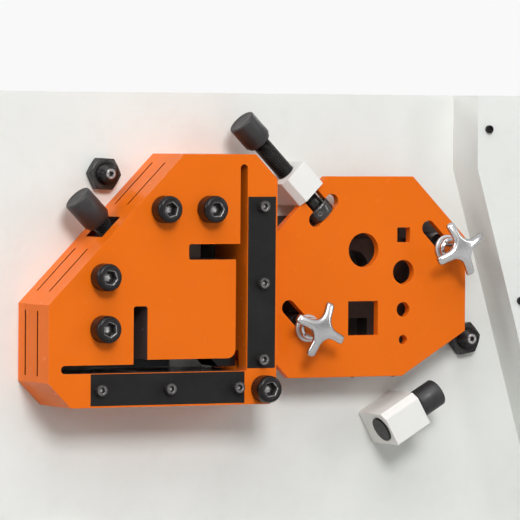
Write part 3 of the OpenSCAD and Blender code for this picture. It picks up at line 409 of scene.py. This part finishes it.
def paint_with_shaded_seat(name, tone, second, dust, reflection_streak_tone, bare, rough, shine):
    """Paint that is bare and near black inside the seat, as painted shade behind the clamp plate: the
    larger of the two distances outside the rectangle is below zero there, and so is the distance outside
    the round spot face."""
    t, shader, place = finish_graph(name)
    colour = painted(t, shader, place, tone, second, dust, rough, shine)
    axes = wire(t, "ShaderNodeSeparateXYZ", {"Vector": place}).outputs
    # faint darker upright streaks: painted reflection, standing for soft reflections on the sheet
    stretched = wire(t, "ShaderNodeMapping", {"Vector": place, "Scale": REFLECTION_STREAK_STRETCH}).outputs[0]
    reflection_streak = remap(t, noise(t, stretched, 1.0, 4.0), 0.5, 0.75, 0.0, 0.10)
    colour = blend(t, reflection_streak, colour, reflection_streak_tone)
    splash = maths(t, "MULTIPLY", remap(t, axes["Z"], 0.02, 0.16, 0.55, 0.0),
                   noise(t, place, 55.0, 6.0, 0.7))
    colour = blend(t, splash, colour, dust)
    low, high = spot(SEAT_LEFT, SEAT_LOW, 0), spot(SEAT_RIGHT, SEAT_HIGH, 0)
    away = []
    for key, k in (("X", 0), ("Z", 2)):
        middle, half = (low[k] + high[k]) / 2, (high[k] - low[k]) / 2
        off = maths(t, "ABSOLUTE", maths(t, "SUBTRACT", axes[key], middle))
        away.append(maths(t, "SUBTRACT", off, half))
    pad = spot(*SPOT_FACE, 0)
    in_plan = wire(t, "ShaderNodeVectorMath", {0: place, 1: (1.0, 0.0, 1.0)}, "MULTIPLY").outputs[0]
    reach = wire(t, "ShaderNodeVectorMath", {0: in_plan, 1: (pad.x, 0.0, pad.z)}, "DISTANCE")
    off_pad = maths(t, "SUBTRACT", reach.outputs["Value"], SPOT_FACE_R / 1000.0)
    outside = maths(t, "MINIMUM", maths(t, "MAXIMUM", *away), off_pad)
    on_front_plate = remap(t, axes["Y"], spot(0, 0, FRONT_PLATE_BACK).y,
                           spot(0, 0, FRONT_PLATE_BACK - 2).y, 1.0, 0.0)
    # inside the seat and the spot face the colour goes to the near-black bare tone: painted shade behind
    # the clamp plate
    mask = maths(t, "MULTIPLY", remap(t, outside, -0.0005, 0.0005, 1.0, 0.0), on_front_plate)
    feed(t, shader, {"Base Color": blend(t, mask, colour, bare)})


print("bare seat", SEAT_RIGHT - SEAT_LEFT, "by", SEAT_HIGH - SEAT_LOW, "mm")

# %% [markdown]
# ## The finishes of the record's slots
#
# One finish for each slot of the record, and two more. The bar blade lies deep behind the clamp plate,
# so its steel is given a much darker tone than the blades that the stock wipes clean: painted shade for
# the recess it sits in. The collar of the bar clamp is ground before it is blackened, so it is smoother
# than the screws.

# %% Finishes
# the near-black bare tone of the frame is painted shade in the seat behind the clamp plate
paint_with_shaded_seat("frame_paint", (0.785, 0.80, 0.77), (0.815, 0.83, 0.80), dust=(0.60, 0.59, 0.55),
             reflection_streak_tone=(0.66, 0.67, 0.65), bare=(0.06, 0.050, 0.048), rough=0.54, shine=0.12)
paint("block_paint", (0.84, 0.84, 0.81), (0.87, 0.87, 0.84), dust=(0.66, 0.64, 0.59), rough=0.36)
# the groove colour is painted shade for the seam grooves of the guide
slotted_paint("guide_paint", (0.81, 0.154, 0.0065), (0.84, 0.163, 0.0080), dust=(0.64, 0.15, 0.025),
              bare=(0.115, 0.082, 0.080), groove_shade=(0.17, 0.022, 0.005), rough=0.20, shine=0.11)
steel("black_rail", (0.009, 0.0085, 0.0085), (0.014, 0.0135, 0.0135), rough=0.5, metal=0.0, shine=0.16)
steel("dark_fastener", (0.007, 0.0055, 0.0055), (0.013, 0.0105, 0.0105), rough=0.22, metal=0.0,
      grip=0.02, worn=(0.55, 0.53, 0.53), shine=0.22)
steel("black_screw", (0.007, 0.0065, 0.0065), (0.014, 0.013, 0.013), rough=0.27, metal=0.2, shine=0.4)
plastic("knob_plastic", (0.025, 0.024, 0.025), (0.034, 0.033, 0.035), rough=0.42, shine=0.38)
cast_chrome("chromed", (0.44, 0.435, 0.44), (0.50, 0.495, 0.50), rough=0.20)
steel("bright_steel", (0.46, 0.455, 0.46), (0.53, 0.525, 0.53), rough=0.40, grip=0.008)
steel("blade_steel", (0.33, 0.31, 0.30), (0.46, 0.44, 0.43), rough=0.42, metal=0.6)
# the bar blade's tone is kept dark as painted shade for its place deep behind the clamp plate
steel("oily_blade", (0.085, 0.072, 0.068), (0.14, 0.122, 0.116), rough=0.42, metal=0.4)
steel("bearing_bronze", (0.42, 0.25, 0.09), (0.52, 0.33, 0.13), rough=0.34)
steel("beam_steel", (0.11, 0.108, 0.105), (0.17, 0.167, 0.163), rough=0.42)
paint("cylinder_paint", (0.055, 0.06, 0.066), (0.07, 0.075, 0.08), dust=(0.12, 0.11, 0.10), rough=0.4)
steel("ground_black", (0.016, 0.015, 0.015), (0.026, 0.025, 0.025), rough=0.17, metal=0.3, grip=0.01,
      worn=(0.26, 0.25, 0.24))
print("finishes:", ", ".join(FINISH))

# %% [markdown]
# ## Broken edges on the plates
#
# A machined or flame-cut plate never has a perfect edge. Each CAD node keeps its mesh and gets
# a weld, which joins the points that the file format splits, a planar dissolve, which turns
# each flat back from triangles into one face, a narrow bevel on its sharp edges, and normals
# weighted by face area so that the flats stay flat. New plates could be drawn instead, but then
# each hole would have to be drawn again as well.

# %% Bevels and finishes on the CAD nodes
EDGE_MM = {"front_frame_plate": 1.2, "rear_frame_plate": 1.2, "base_plate": 2.0, "side_cover": 1.3,
           "bar_clamp_block": 2.6, "lower_clamp_block": 2.6, "vertical_rail": 0.6,
           "horizontal_rail": 0.6, "guide_rear_plate": 0.7, "guide_middle_plate": 0.5,
           "guide_front_plate": 0.9, "bar_clamp_plate": 1.0, "moving_beam": 1.5, "pivot_caps": 1.5}
SMALL_EDGE_MM, WIDE_EDGE_MM = 0.4, 1.5
SPLIT_POINTS = 0.00001
FLAT_WITHIN, SHARP_FROM = math.radians(0.6), math.radians(40)
finish_of = {s["node"]: s["material_slot"] for s in frame["record"]["subparts"]}
# the bar blade gets the darkened finish: painted shade behind the clamp plate
finish_of["fixed_bar_blade"] = "oily_blade"
for name, obj in frame["nodes"].items():
    obj.data.materials.clear()
    obj.data.materials.append(FINISH[finish_of[name]])
    weld = obj.modifiers.new("join", "WELD")
    weld.merge_threshold = SPLIT_POINTS
    whole = obj.modifiers.new("whole_flats", "DECIMATE")
    whole.decimate_type = "DISSOLVE"
    whole.angle_limit = FLAT_WITHIN
    edge = obj.modifiers.new("edge", "BEVEL")
    width = EDGE_MM.get(name, SMALL_EDGE_MM)
    edge.width = width / 1000.0
    edge.segments = 3 if width >= WIDE_EDGE_MM else 2
    edge.limit_method = "ANGLE"
    edge.angle_limit = SHARP_FROM
    flat = obj.modifiers.new("flats", "WEIGHTED_NORMAL")
    flat.keep_sharp = False
print("bevelled", len(frame["nodes"]), "nodes")

# %% [markdown]
# ## Cap screws
#
# The five large screws hold the guide to the frame, and the six small ones, rubbed brighter by
# the stock that slides past them, hold the rails. A cap screw could be a cylinder with a hexagon
# cut out of it, but a stack of rings gives clean quads: shank, underhead, a side that is knurled
# for the fingers, a wide rounded shoulder, the flat ring at the front, and then the hexagon
# socket going back down. Keys have polished the socket's mouth and the middle of its floor, so
# those rings get wear.

# %% Cap screws
def cap_screw(thread, head_d, head_h, shank, socket, deep, soft, rubbed, haze, n, teeth):
    """Rings (radius, height, wear) of a socket cap screw: the head's side carries a cosine knurl,
    and its shoulder is a quarter ellipse that goes in by soft. The flat ring at the front is as
    worn as rubbed says, and haze is wear all over."""
    big, edge, drop = head_d / 2, 0.05 * thread, 1.35 * soft
    hexa = hexagon(n, socket)
    knurled = big - 0.008 * thread * (1 + np.cos(teeth * angles(n)))
    bottom = head_h - deep
    rows = [(thread / 2 - edge, -shank, 0), (thread / 2, -shank + edge, 0), (thread / 2, 0.0, 0),
            (big - edge, 0.0, 0), (big - 0.3 * edge, 0.6 * edge, 0), (knurled, 1.4 * edge, 0),
            (knurled, head_h - drop, 0)]
    rows += [(big - soft * (1 - math.cos(q)), head_h - drop + drop * math.sin(q), 0.0)
             for q in np.linspace(0.25, math.pi / 2, 7)]
    rows += [(big - soft - 0.5 * edge, head_h, rubbed), (hexa + edge * 1.2, head_h, rubbed),
             (hexa + edge * 0.8, head_h - edge * 0.2, 0.8), (hexa + edge * 0.2, head_h - edge, 0.4),
             (hexa, head_h - edge * 1.6, 0.1), (hexa, bottom + edge, 0.1), (hexa * 0.99, bottom, 0.0),
             (hexa * 0.62, bottom - 0.2 * edge, 0.0), (hexa * 0.42, bottom - edge, 0.8)]
    points, faces, wear = stack(rows, n, middles=(0.0, 1.0))
    return points, faces, np.clip(wear + haze, 0, 1)


def screwed_in(places, step):
    """Places on the guide's front, each screw turned a step further than the one before."""
    return [looking(spot(*place, GUIDE_FRONT), OUT, step * i) for i, place in enumerate(places)]


GUIDE_SCREWS = [(-48, 177), (-104, 177), (-177, 48), (-177, 104), (20, -20)]
m20 = cap_screw(thread=20, head_d=30, head_h=20, shank=99, socket=13.4, deep=9, soft=3.8,
                rubbed=0.03, haze=0.0, n=180, teeth=60)
piece("guide_cap_screws", m20, screwed_in(GUIDE_SCREWS, 17), "frame", "dark_fastener", ["guide_screws"])

RAIL_FIRST, RAIL_STEP, RAIL_GAP, RAIL_W = 12, 84, 0.7, 34.5
rail_middle = RAIL_GAP + RAIL_W / 2
rail_screws = []
for i in range(3):
    along = RAIL_FIRST + RAIL_STEP * i
    rail_screws += [(-along, -rail_middle), (rail_middle, along)]
m8 = cap_screw(thread=8, head_d=13, head_h=8, shank=21, socket=6.0, deep=3.8, soft=0.8,
               rubbed=0.20, haze=0.05, n=120, teeth=40)
piece("rail_cap_screws", m8, screwed_in(rail_screws, 23), "frame", "dark_fastener", ["rail_screws"])

# %% [markdown]
# ## Screw threads
#
# A thread is a cylinder whose radius depends on how far the height has run ahead of the angle:
# take the height over the pitch minus the turn, keep the fraction, and shape it as a triangle
# with its tip and root cut flat. A section swept along a helix would do too, but its ends have
# to be closed by hand. The one formula gives the clamp screws and the gib studs.

# %% Threads
PITCH = 2.5
CLAMP_R, CLAMP_DEEP = 10.0, 1.5
BAR_CLAMP, LOWER_CLAMP = (142.25, 142.25), (79, -136.83)
SCREW_DEPTH, LOWER_DEPTH = 37.5, 38
DIAGONAL_OUT = (-1.0, 0.0, 1.0)
LOWER_OUT = (math.cos(math.radians(30)), 0.0, 0.5)


def thread_radius(n, z, big, deep):
    """Radius at n angles and one height of a right-hand thread: a clipped triangle wave of
    (height / pitch - angle / full turn)."""
    wave = np.abs(((z / PITCH - angles(n) / (2 * math.pi)) % 1.0) - 0.5) * 2
    return big - deep * np.clip(1.25 * wave - 0.125, 0, 1)


def threaded_rod(start, end, bare=0.0, n=48, step=8):
    """Rings of a clamp screw that is threaded from a bare start, with a small lead-in at each end."""
    big, deep = CLAMP_R, CLAMP_DEEP
    rows = [(big - deep, start), (big - 0.3 * deep, start + 0.6 * deep)]
    count = int((end - start - bare) / PITCH * step)
    rows += [(thread_radius(n, z, big, deep), z)
             for z in np.linspace(start + bare + deep, end - deep, count)]
    rows += [(big - 0.3 * deep, end - 0.6 * deep), (big - deep, end)]
    return stack(rows, n)


angle_base = looking(spot(0, 0, SCREW_DEPTH), DIAGONAL_OUT)
bar_base = looking(spot(*BAR_CLAMP, SCREW_DEPTH), DIAGONAL_OUT)
lower_base = looking(spot(*LOWER_CLAMP, LOWER_DEPTH), LOWER_OUT)
piece("angle_thread", threaded_rod(start=46.3, end=253.7, bare=14), [angle_base],
      "angle_screw", "black_screw", ["angle_clamp_screw"])
piece("bar_thread", threaded_rod(start=38.5, end=175.7, bare=22), [bar_base],
      "bar_screw", "black_screw", ["bar_clamp_screw"])
piece("lower_thread", threaded_rod(start=135.3, end=204.2), [lower_base],
      "lower_screw", "black_screw", ["lower_clamp_screw"])

# %% [markdown]
# ## Knobs
#
# The three hold-down screws end in plain black barrels. The barrel has a rounded rim, a
# shallow groove near its foot and a slightly dished end. A bevelled cylinder comes close, but it
# has neither the groove nor the dish, and both catch the light.

# %% Knobs
KNOB_R = 16.0
BORE_R = CLAMP_R + 0.06


def barrel_knob(start, length, n=96):
    """Rings of a knob from its foot to its end, with quarter-circle rims."""
    r, foot, rim, end = KNOB_R, 1.2, 2.2, start + length
    turn = np.linspace(0, math.pi / 2, 7)
    rows = [(BORE_R, start), (r - 3.2, start)]
    rows += [(r - 3.2 + foot * math.sin(q), start + foot * (1 - math.cos(q))) for q in turn]
    rows += [(r - 0.9, start + 3.6), (r, start + 4.6)]
    rows += [(r - rim + rim * math.cos(q), end - rim + rim * math.sin(q)) for q in turn]
    rows += [(r * 0.78, end - 0.05), (r * 0.70, end - 0.5), (r * 0.4, end - 0.6)]
    return stack(rows, n, close_start=False)


for side, base, start, length in (("angle", angle_base, 230, 38), ("bar", bar_base, 152, 33),
                                  ("lower", lower_base, 180.5, 33)):
    piece(side + "_knob", barrel_knob(start, length), [base], side + "_screw", "knob_plastic",
          [side + "_clamp_knob"], sharp=50)

# %% [markdown]
# ## Collar of the bar clamp
#
# The collar turns in the pocket of the clamp plate. It is a short barrel with chamfers, locked
# to the screw by one grub screw in its side. Both are ring stacks, the grub screw with its axis
# along the collar's radius, on the side that the operator can reach.

# %% Collar
COLLAR_R, COLLAR_FOOT = 15.5, 38.5
GRUB_HEIGHT, GRUB_TURN = 0.047, math.radians(-26)
profile = [(BORE_R, 0.0, 0), (14.2, 0.0, 0.1), (15.3, 1.0, 0.8), (COLLAR_R, 1.5, 0.15),
           (COLLAR_R, 13.5, 0.1), (15.3, 14.0, 0.8), (14.2, 15.0, 0.1), (BORE_R, 15.0, 0)]
collar = stack([(r, COLLAR_FOOT + z, wear) for r, z, wear in profile], 96, False, False)
piece("collar", collar, [bar_base], "bar_screw", "dark_fastener", ["bar_clamp_collar"],
      finish="ground_black")

socket = hexagon(48, 2.6)
grub_screw = stack([(3.0, -3.0, 0), (3.0, 0.1, 0.1), (2.6, 0.45, 0.25), (socket + 0.3, 0.45, 0.5),
                    (socket, 0.15, 0.2), (socket, -1.8, 0)], 48)
middle = bar_base @ Matrix.Translation((0, 0, GRUB_HEIGHT)) @ Matrix.Rotation(GRUB_TURN, 4, "Z")
facing = middle.to_3x3() @ Vector((1, 0, 0))
seat = looking(middle.translation + facing * (COLLAR_R / 1000.0), facing)
piece("collar_grub_screw", grub_screw, [seat], "bar_screw", "dark_fastener")

# %% [markdown]
# ## Lock nuts and gib studs
#
# A nut is a hexagon with both faces turned at thirty degrees. The turning takes height off in
# proportion to how far a point lies outside the turned circle, which draws the familiar arcs
# on the flats. A bevel would only break the edges and could not draw them. The stud in the nut
# is a thread that tapers to a small polished point.

# %% Lock nuts and gib studs
GIBS = [(-141.5, 214.5), (318, 28)]
STUD_R, STUD_DEEP = 11.0, 1.4


def hex_nut(flats, thick, bore, n=192):
    """Rings of a hexagon nut: bore, faces, and flats cut by a thirty-degree cone at each end."""
    hexa, turned = hexagon(n, flats), flats / 2 * 0.96
    drop = (hexa - turned) * math.tan(math.radians(30))
    return stack([(bore, 0.6, 0), (bore + 0.8, 0.0, 0), (turned, 0.0, 0), (hexa, drop, 0),
                  (hexa, thick - drop, 0.03), (turned, thick, 0.10), (bore + 0.8, thick, 0.02),
                  (bore, thick - 0.6, 0.05), (bore, 0.6, 0)], n, False, False)


def gib_stud(n=96):
    """Rings of a threaded stud that tapers to a small polished point with a hexagon socket in it."""
    hexa = hexagon(n, 5.0)
    rows = [(STUD_R, -24.0, 0), (STUD_R, 0.0, 0)]
    rows += [(thread_radius(n, z, STUD_R, STUD_DEEP), z, 0.0) for z in np.arange(0.5, 20.9, 0.35)]
    rows += [(9.9, 21.0, 0.0), (6.0, 24.0, 0.05), (5.4, 24.5, 0.7), (4.8, 25.0, 1.0),
             (hexa + 0.5, 25.0, 1.0), (hexa, 24.5, 0.5), (hexa, 20.4, 0.0), (hexa * 0.5, 20.0, 0.0)]
    return stack(rows, n, middles=(0.0, 1.0))


piece("gib_lock_nuts", hex_nut(34, 11.5, STUD_R + 0.05),
      [looking(spot(*gib, 0), OUT, -3 + 14 * i) for i, gib in enumerate(GIBS)],
      "frame", "dark_fastener", ["lock_nuts"])
piece("gib_threads", gib_stud(), [looking(spot(*gib, 0), OUT, 40 * i) for i, gib in enumerate(GIBS)],
      "frame", "dark_fastener", ["gib_studs"])

# %% [markdown]
# ## Star knobs
#
# The star is a casting with four arms. Seen from the front, its outline is a cross with
# straight sides, rounded tips and wide fillets between the arms. `star_outline` finds where a
# ray from the centre meets that outline. The solid is then a stack of rings that shrink towards
# the front and the back, and the arms bend back with the square of the distance. A star could
# also be sculpted from a box, but the formula keeps its reach and its arms to size.

# %% Star outline and surface
ARM_REACH, ARM_HALF, ARM_FILLET, ARM_TIP = 32.0, 5.2, 13.0, 3.6
ARM_BACK, ARM_THICK, ARM_ROUND = 28.0, 8.0, 4.3
ARM_BEND, BEND_AT = 5.5, 31.5
STUD_BORE, HUB_R, HUB_SOFT, HUB_HALF = 8.05, 13.0, 1.9, 3.4


def star_outline(n, reach, half, fillet, tip):
    """Distance from the centre to the outline of a four-armed cross at n angles. On an arm it is
    the nearest of the end, the side and the tip's corner circle; between arms, the fillet."""
    q = np.abs(((angles(n) + math.pi / 4) % (math.pi / 2)) - math.pi / 4)
    c, s = np.cos(q), np.sin(q)
    centre = half + fillet
    b = centre * (c + s)
    root = np.maximum(b * b - 2 * centre * centre + fillet * fillet, 0.0)
    in_fillet = q > math.atan2(half, centre)
    side = np.where(in_fillet, b - np.sqrt(root), half / np.maximum(s, 1e-6))
    cx, cy = reach - tip, half - tip
    b2 = cx * c + cy * s
    root2 = b2 * b2 - cx * cx - cy * cy + tip * tip
    corner = b2 + np.sqrt(np.maximum(root2, 0.0))
    at_corner = (q > math.atan2(cy, reach)) & (q < math.atan2(half, cx))
    return np.where(at_corner, corner, np.minimum(side, reach / c))


def star_ring(n, inset, rise, share=1.0, least=0.0):
    """The outline drawn in by an inset, and bent back with the square of the distance."""
    tip = max(ARM_TIP - inset, 0.3)
    r = star_outline(n, ARM_REACH - inset, ARM_HALF - inset, ARM_FILLET + inset, tip)
    r = np.maximum(r * share, least)
    return r, ARM_BACK + rise - ARM_BEND * (r / BEND_AT) ** 2


def star_knob(n=288):
    """Rings from the hub at the back, out along the back of the arms, round their edge by a
    half ellipse of insets, and in over the front to the centre."""
    rows = [(STUD_BORE, 0.0), (11.2, 0.0)]
    rows += [(HUB_R - HUB_SOFT * (1 - math.cos(q)), HUB_HALF + HUB_HALF * math.sin(q))
             for q in np.linspace(-1.5, 1.5, 11)]
    rows += [(9.8, 7.6), (9.2, 12.0), (9.6, 24.5)]
    rows += [star_ring(n, ARM_ROUND, 0.0, share, 10.2) for share in (0.5, 0.7, 0.85, 1.0)]
    rows += [star_ring(n, ARM_ROUND * (1 - math.cos(q)), ARM_THICK / 2 * (1 + math.sin(q)))
             for q in np.linspace(-math.pi / 2, math.pi / 2, 25)[1:-1]]
    rows += [star_ring(n, ARM_ROUND, ARM_THICK, share) for share in (1.0, 0.85, 0.7, 0.5, 0.3, 0.12)]
    return stack(rows, n, close_start=False)


star = star_knob()
print("star:", len(star[0]), "points, arms", ARM_REACH, "mm long")

# %% [markdown]
# Each star clamps the plate through a washer with a rounded rim. A washer is a ring stack that
# ends where it starts, so its bore is closed too.

# %% Stars and washers
WASHER_BACK, WASHER_R, WASHER_SOFT, WASHER_THICK = 50.3, 15.5, 1.5, 4.0
rim = [(WASHER_R - WASHER_SOFT * (1 - math.cos(q)), WASHER_THICK / 2 * (1 + math.sin(q)))
       for q in np.linspace(-1.5, 1.5, 9)]
bore = [(STUD_BORE, WASHER_THICK), (STUD_BORE, 0.0)]
washer = stack(bore[1:] + rim + bore, 96, False, False)
for side, stud, turn in (("left", (89, 44.5), 65.5), ("right", (267.5, 132), 27.0)):
    piece("star_" + side, star, [looking(spot(*stud, WASHER_BACK + WASHER_THICK), OUT, turn)],
          "star_" + side, "chromed", ["star_knob_" + side], sharp=50)
    piece("washer_" + side, washer, [looking(spot(*stud, WASHER_BACK), OUT)],
          "washer_" + side, "bright_steel", ["star_washer_" + side])

# %% [markdown]
# ## Weld beads
#
# The frame plates stand on the base plate in a run of fillet weld, painted over with the rest.
# A bead could be a plain rounded strip, but the eye looks for its ripples. Its section is a
# quarter disc in the corner between two faces. Seen from a point inside it, that section is one
# distance for each direction, so a bead is a ring stack too, and the ripples are a small change
# of the disc's radius along the run.

# %% Weld beads
BEAD_SIZE, BEAD_MIDDLE, EDGE_GAP = 8.0, 0.35, 0.012
UP = Vector((0, 0, 1))


def bead_section(n, size):
    """Distance from a point about a third of the size off both faces to the edge of a quarter disc
    of that size, at n directions: the nearest of the two straight sides and the arc. The arc's
    distance solves the quadratic for the circle about the corner."""
    a, c = angles(n), BEAD_MIDDLE * size
    along = c * (np.cos(a) + np.sin(a))
    arc = np.sqrt(along ** 2 - 2 * c * c + size * size) - along
    standing = np.where(np.cos(a) < -1e-6, c / np.maximum(-np.cos(a), 1e-6), np.inf)
    lying = np.where(np.sin(a) < -1e-6, c / np.maximum(-np.sin(a), 1e-6), np.inf)
    return np.minimum(arc, np.minimum(standing, lying))


def weld_bead(length, n=20, step=1.1, ripple=4.2):
    """Rings along a bead. The size swells and falls as the rectified sine of a hand's steady beat,
    with a slow drift, and draws in at both ends."""
    z = np.arange(0.0, length, step)
    ends = np.sqrt(np.clip(np.minimum(z, length - z) / 6.0, 0.02, 1.0))
    beat = 0.12 * np.abs(np.sin(math.pi * z / ripple))
    drift = 0.05 * np.sin(z / 37.0) + 0.03 * np.sin(z / 11.0 + 1.0)
    sizes = BEAD_SIZE * (0.88 + beat + drift) * ends
    points, faces, wear = stack([(bead_section(n, d), h) for d, h in zip(sizes, z)], n)
    centre = np.append(np.repeat(BEAD_MIDDLE * sizes, n), BEAD_MIDDLE * sizes[[0, -1]])
    return points + np.c_[centre, centre, np.zeros(len(centre))], faces, wear


def corner_run(origin, away):
    """A matrix with local X away from the standing face, Y up from the lying face, Z along."""
    m = Matrix((away, UP, away.cross(UP))).transposed().to_4x4()
    m.translation = origin
    return m


front_plate, rear_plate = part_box("front_frame_plate"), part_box("rear_frame_plate")
base_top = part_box("base_plate")[1].z
low_x, high_x = front_plate[0].x + EDGE_GAP, front_plate[1].x - EDGE_GAP
bead = weld_bead((high_x - low_x) * 1000)
for side, x, y, away in (("front", high_x, front_plate[0].y, -1), ("rear", low_x, rear_plate[1].y, 1)):
    run = corner_run(Vector((x, y, base_top)), Vector((0, away, 0)))
    piece("base_weld_" + side, bead, [run], "frame", "frame_paint", sharp=60)

# %% [markdown]
# ## Camera
#
# The camera was found by fitting the corners of the station: a long lens about five metres
# away, to the operator's left and almost level.

# %% Camera
YAW, PITCH_DOWN, ROLL = math.radians(28.389), math.radians(1.617), math.radians(0.4208)
AIM, RANGE = Vector((-0.0559, -0.139, 0.4468)), 5.3533
SENSOR_MM, LENS_MM = 36.0, 337.26
level = math.cos(PITCH_DOWN)
ahead = Vector((math.sin(YAW) * level, math.cos(YAW) * level, -math.sin(PITCH_DOWN)))
right = Vector((math.cos(YAW), -math.sin(YAW), 0.0))
up = right.cross(ahead)
rolled_right = right * math.cos(ROLL) + up * math.sin(ROLL)
rolled_up = up * math.cos(ROLL) - right * math.sin(ROLL)
view = Matrix((rolled_right, rolled_up, -ahead)).transposed().to_4x4()
view.translation = AIM - ahead * RANGE
lens = bpy.data.cameras.new("camera")
lens.sensor_width = SENSOR_MM
lens.lens = LENS_MM
lens.clip_end = 50.0
camera = bpy.data.objects.new("camera", lens)
camera.matrix_world = view
scene.collection.objects.link(camera)
scene.camera = camera
print("camera at", tuple(round(x, 3) for x in view.translation))

# %% [markdown]
# ## Floor
#
# The floor keeps the shadow near the machine and fades into the pale room further off, so no
# horizon shows from any side. It is pale where it is seen, and dimmer for the light that it
# throws back, because a real workshop floor would not light the machine from below.

# %% Floor
FLOOR_HALF, FLOOR_DROP = 40.0, -0.0005
FADE_FROM, FADE_TO = 0.9, 2.6


def seen_ray(t):
    """One where the ray comes from the lens, from glass or from a mirror, otherwise nought."""
    path = t.nodes.new("ShaderNodeLightPath").outputs
    straight = maths(t, "MAXIMUM", path["Is Camera Ray"], path["Is Transmission Ray"])
    return maths(t, "MAXIMUM", straight, path["Is Glossy Ray"])


floor_mesh = bpy.data.meshes.new("floor")
corners = np.array([(-1, -1), (1, -1), (1, 1), (-1, 1)]) * FLOOR_HALF
floor_mesh.from_pydata(np.c_[corners, np.full(4, FLOOR_DROP)].tolist(), [], [(0, 1, 2, 3)])
floor = bpy.data.objects.new("floor", floor_mesh)
scene.collection.objects.link(floor)
ft, shader, place = finish_graph("floor")
patches = noise(ft, place, 3.0)
pale_floor = blend(ft, patches, (0.74, 0.74, 0.73), (0.80, 0.80, 0.79))
dim_floor = blend(ft, patches, (0.29, 0.29, 0.29), (0.31, 0.31, 0.31))
feed(ft, shader, {"Base Color": blend(ft, seen_ray(ft), dim_floor, pale_floor), "Roughness": 0.8})
glow = wire(ft, "ShaderNodeEmission", {"Color": (0.94, 0.94, 0.94, 1), "Strength": 1.0})
distance = wire(ft, "ShaderNodeVectorMath", {0: place}, "LENGTH").outputs["Value"]
far = maths(ft, "MULTIPLY", remap(ft, distance, FADE_FROM, FADE_TO, 0.0, 1.0), seen_ray(ft))
fade = wire(ft, "ShaderNodeMixShader", {0: far, 1: shader.outputs[0], 2: glow.outputs[0]})
ft.links.new(fade.outputs[0], ft.get_output_node("ALL").inputs[0])
floor_mesh.materials.append(FINISH["floor"])
print("floor", 2 * FLOOR_HALF, "m square")

# %% [markdown]
# ## Light
#
# The stars and screws throw soft shadows down and a little to the right, and the walls of the
# plate's holes that face left are dark, so the key light stands in front, above and only a little
# to the left. A wide weak light in front fills, and a wide one overhead draws the broad soft shade
# under the plate. The left faces of the guide are almost as bright as its front, so another light
# stands square to them, where the guide keeps it off the plate. A weak strip on the right draws
# bright lines along the arms of the stars. Two more light the rear for other views. Each row gives
# a place, what the light is aimed at, its size in metres and its watts.

# %% Lights
FRONT_AIM, REAR_AIM = (0, -0.1, 0.42), (0, 0, 0.35)
LIGHTS = {
    "key": ((-1.65, -5.75, 3.45), FRONT_AIM, (1.9, 1.7), 236),
    "front": ((0.6, -6.0, 2.6), FRONT_AIM, (4.0, 3.0), 20),
    "overhead": ((-1.2, -2.6, 4.5), FRONT_AIM, (4.0, 2.6), 92),
    "left": ((-3.2, -0.55, 1.7), FRONT_AIM, (1.5, 1.5), 33),
    "right": ((3.0, -2.7, 1.5), FRONT_AIM, (0.7, 1.6), 20),
    "rear_right": ((2.7, 1.9, 1.9), REAR_AIM, (2.0, 1.6), 44),
    "rear_left": ((-2.5, 2.3, 2.1), REAR_AIM, (2.0, 1.6), 46),
}
for name, (origin, aim, size, watts) in LIGHTS.items():
    lamp = bpy.data.lights.new(name, "AREA")
    lamp.shape = "RECTANGLE"
    lamp.size, lamp.size_y = size
    lamp.energy = watts
    obj = bpy.data.objects.new(name, lamp)
    obj.matrix_world = looking(Vector(origin), Vector(origin) - Vector(aim))
    scene.collection.objects.link(obj)
print("lights:", ", ".join(LIGHTS))

# %% [markdown]
# ## Room
#
# The room is pale for the lens and for mirrors, and dim for everything else. Mirrors see it go
# greyer towards the horizon, so that polished arms show their bends.

# %% Room
world = bpy.data.worlds.new("room")
scene.world = world
world.use_nodes = True
wt = world.node_tree
wt.nodes.clear()
room = wt.nodes.new("ShaderNodeOutputWorld")
dim_room = wire(wt, "ShaderNodeBackground", {"Color": (0.98, 0.99, 1.0, 1), "Strength": 0.08})
direction = wt.nodes.new("ShaderNodeTexCoord").outputs["Generated"]
way_up = wire(wt, "ShaderNodeSeparateXYZ", {"Vector": direction}).outputs["Z"]
by_height = remap(wt, way_up, -0.05, 0.5, 0.0, 1.0)
by_lens = wt.nodes.new("ShaderNodeLightPath").outputs["Is Camera Ray"]
sky = blend(wt, maths(wt, "MAXIMUM", by_height, by_lens), (0.40, 0.395, 0.39), (0.95, 0.95, 0.95))
pale_room = wire(wt, "ShaderNodeBackground", {"Color": sky, "Strength": 1.0})
mix = wire(wt, "ShaderNodeMixShader", {0: seen_ray(wt), 1: dim_room.outputs[0], 2: pale_room.outputs[0]})
wt.links.new(mix.outputs[0], room.inputs[0])
scene.view_settings.view_transform = "Standard"
print("room:", world.name)
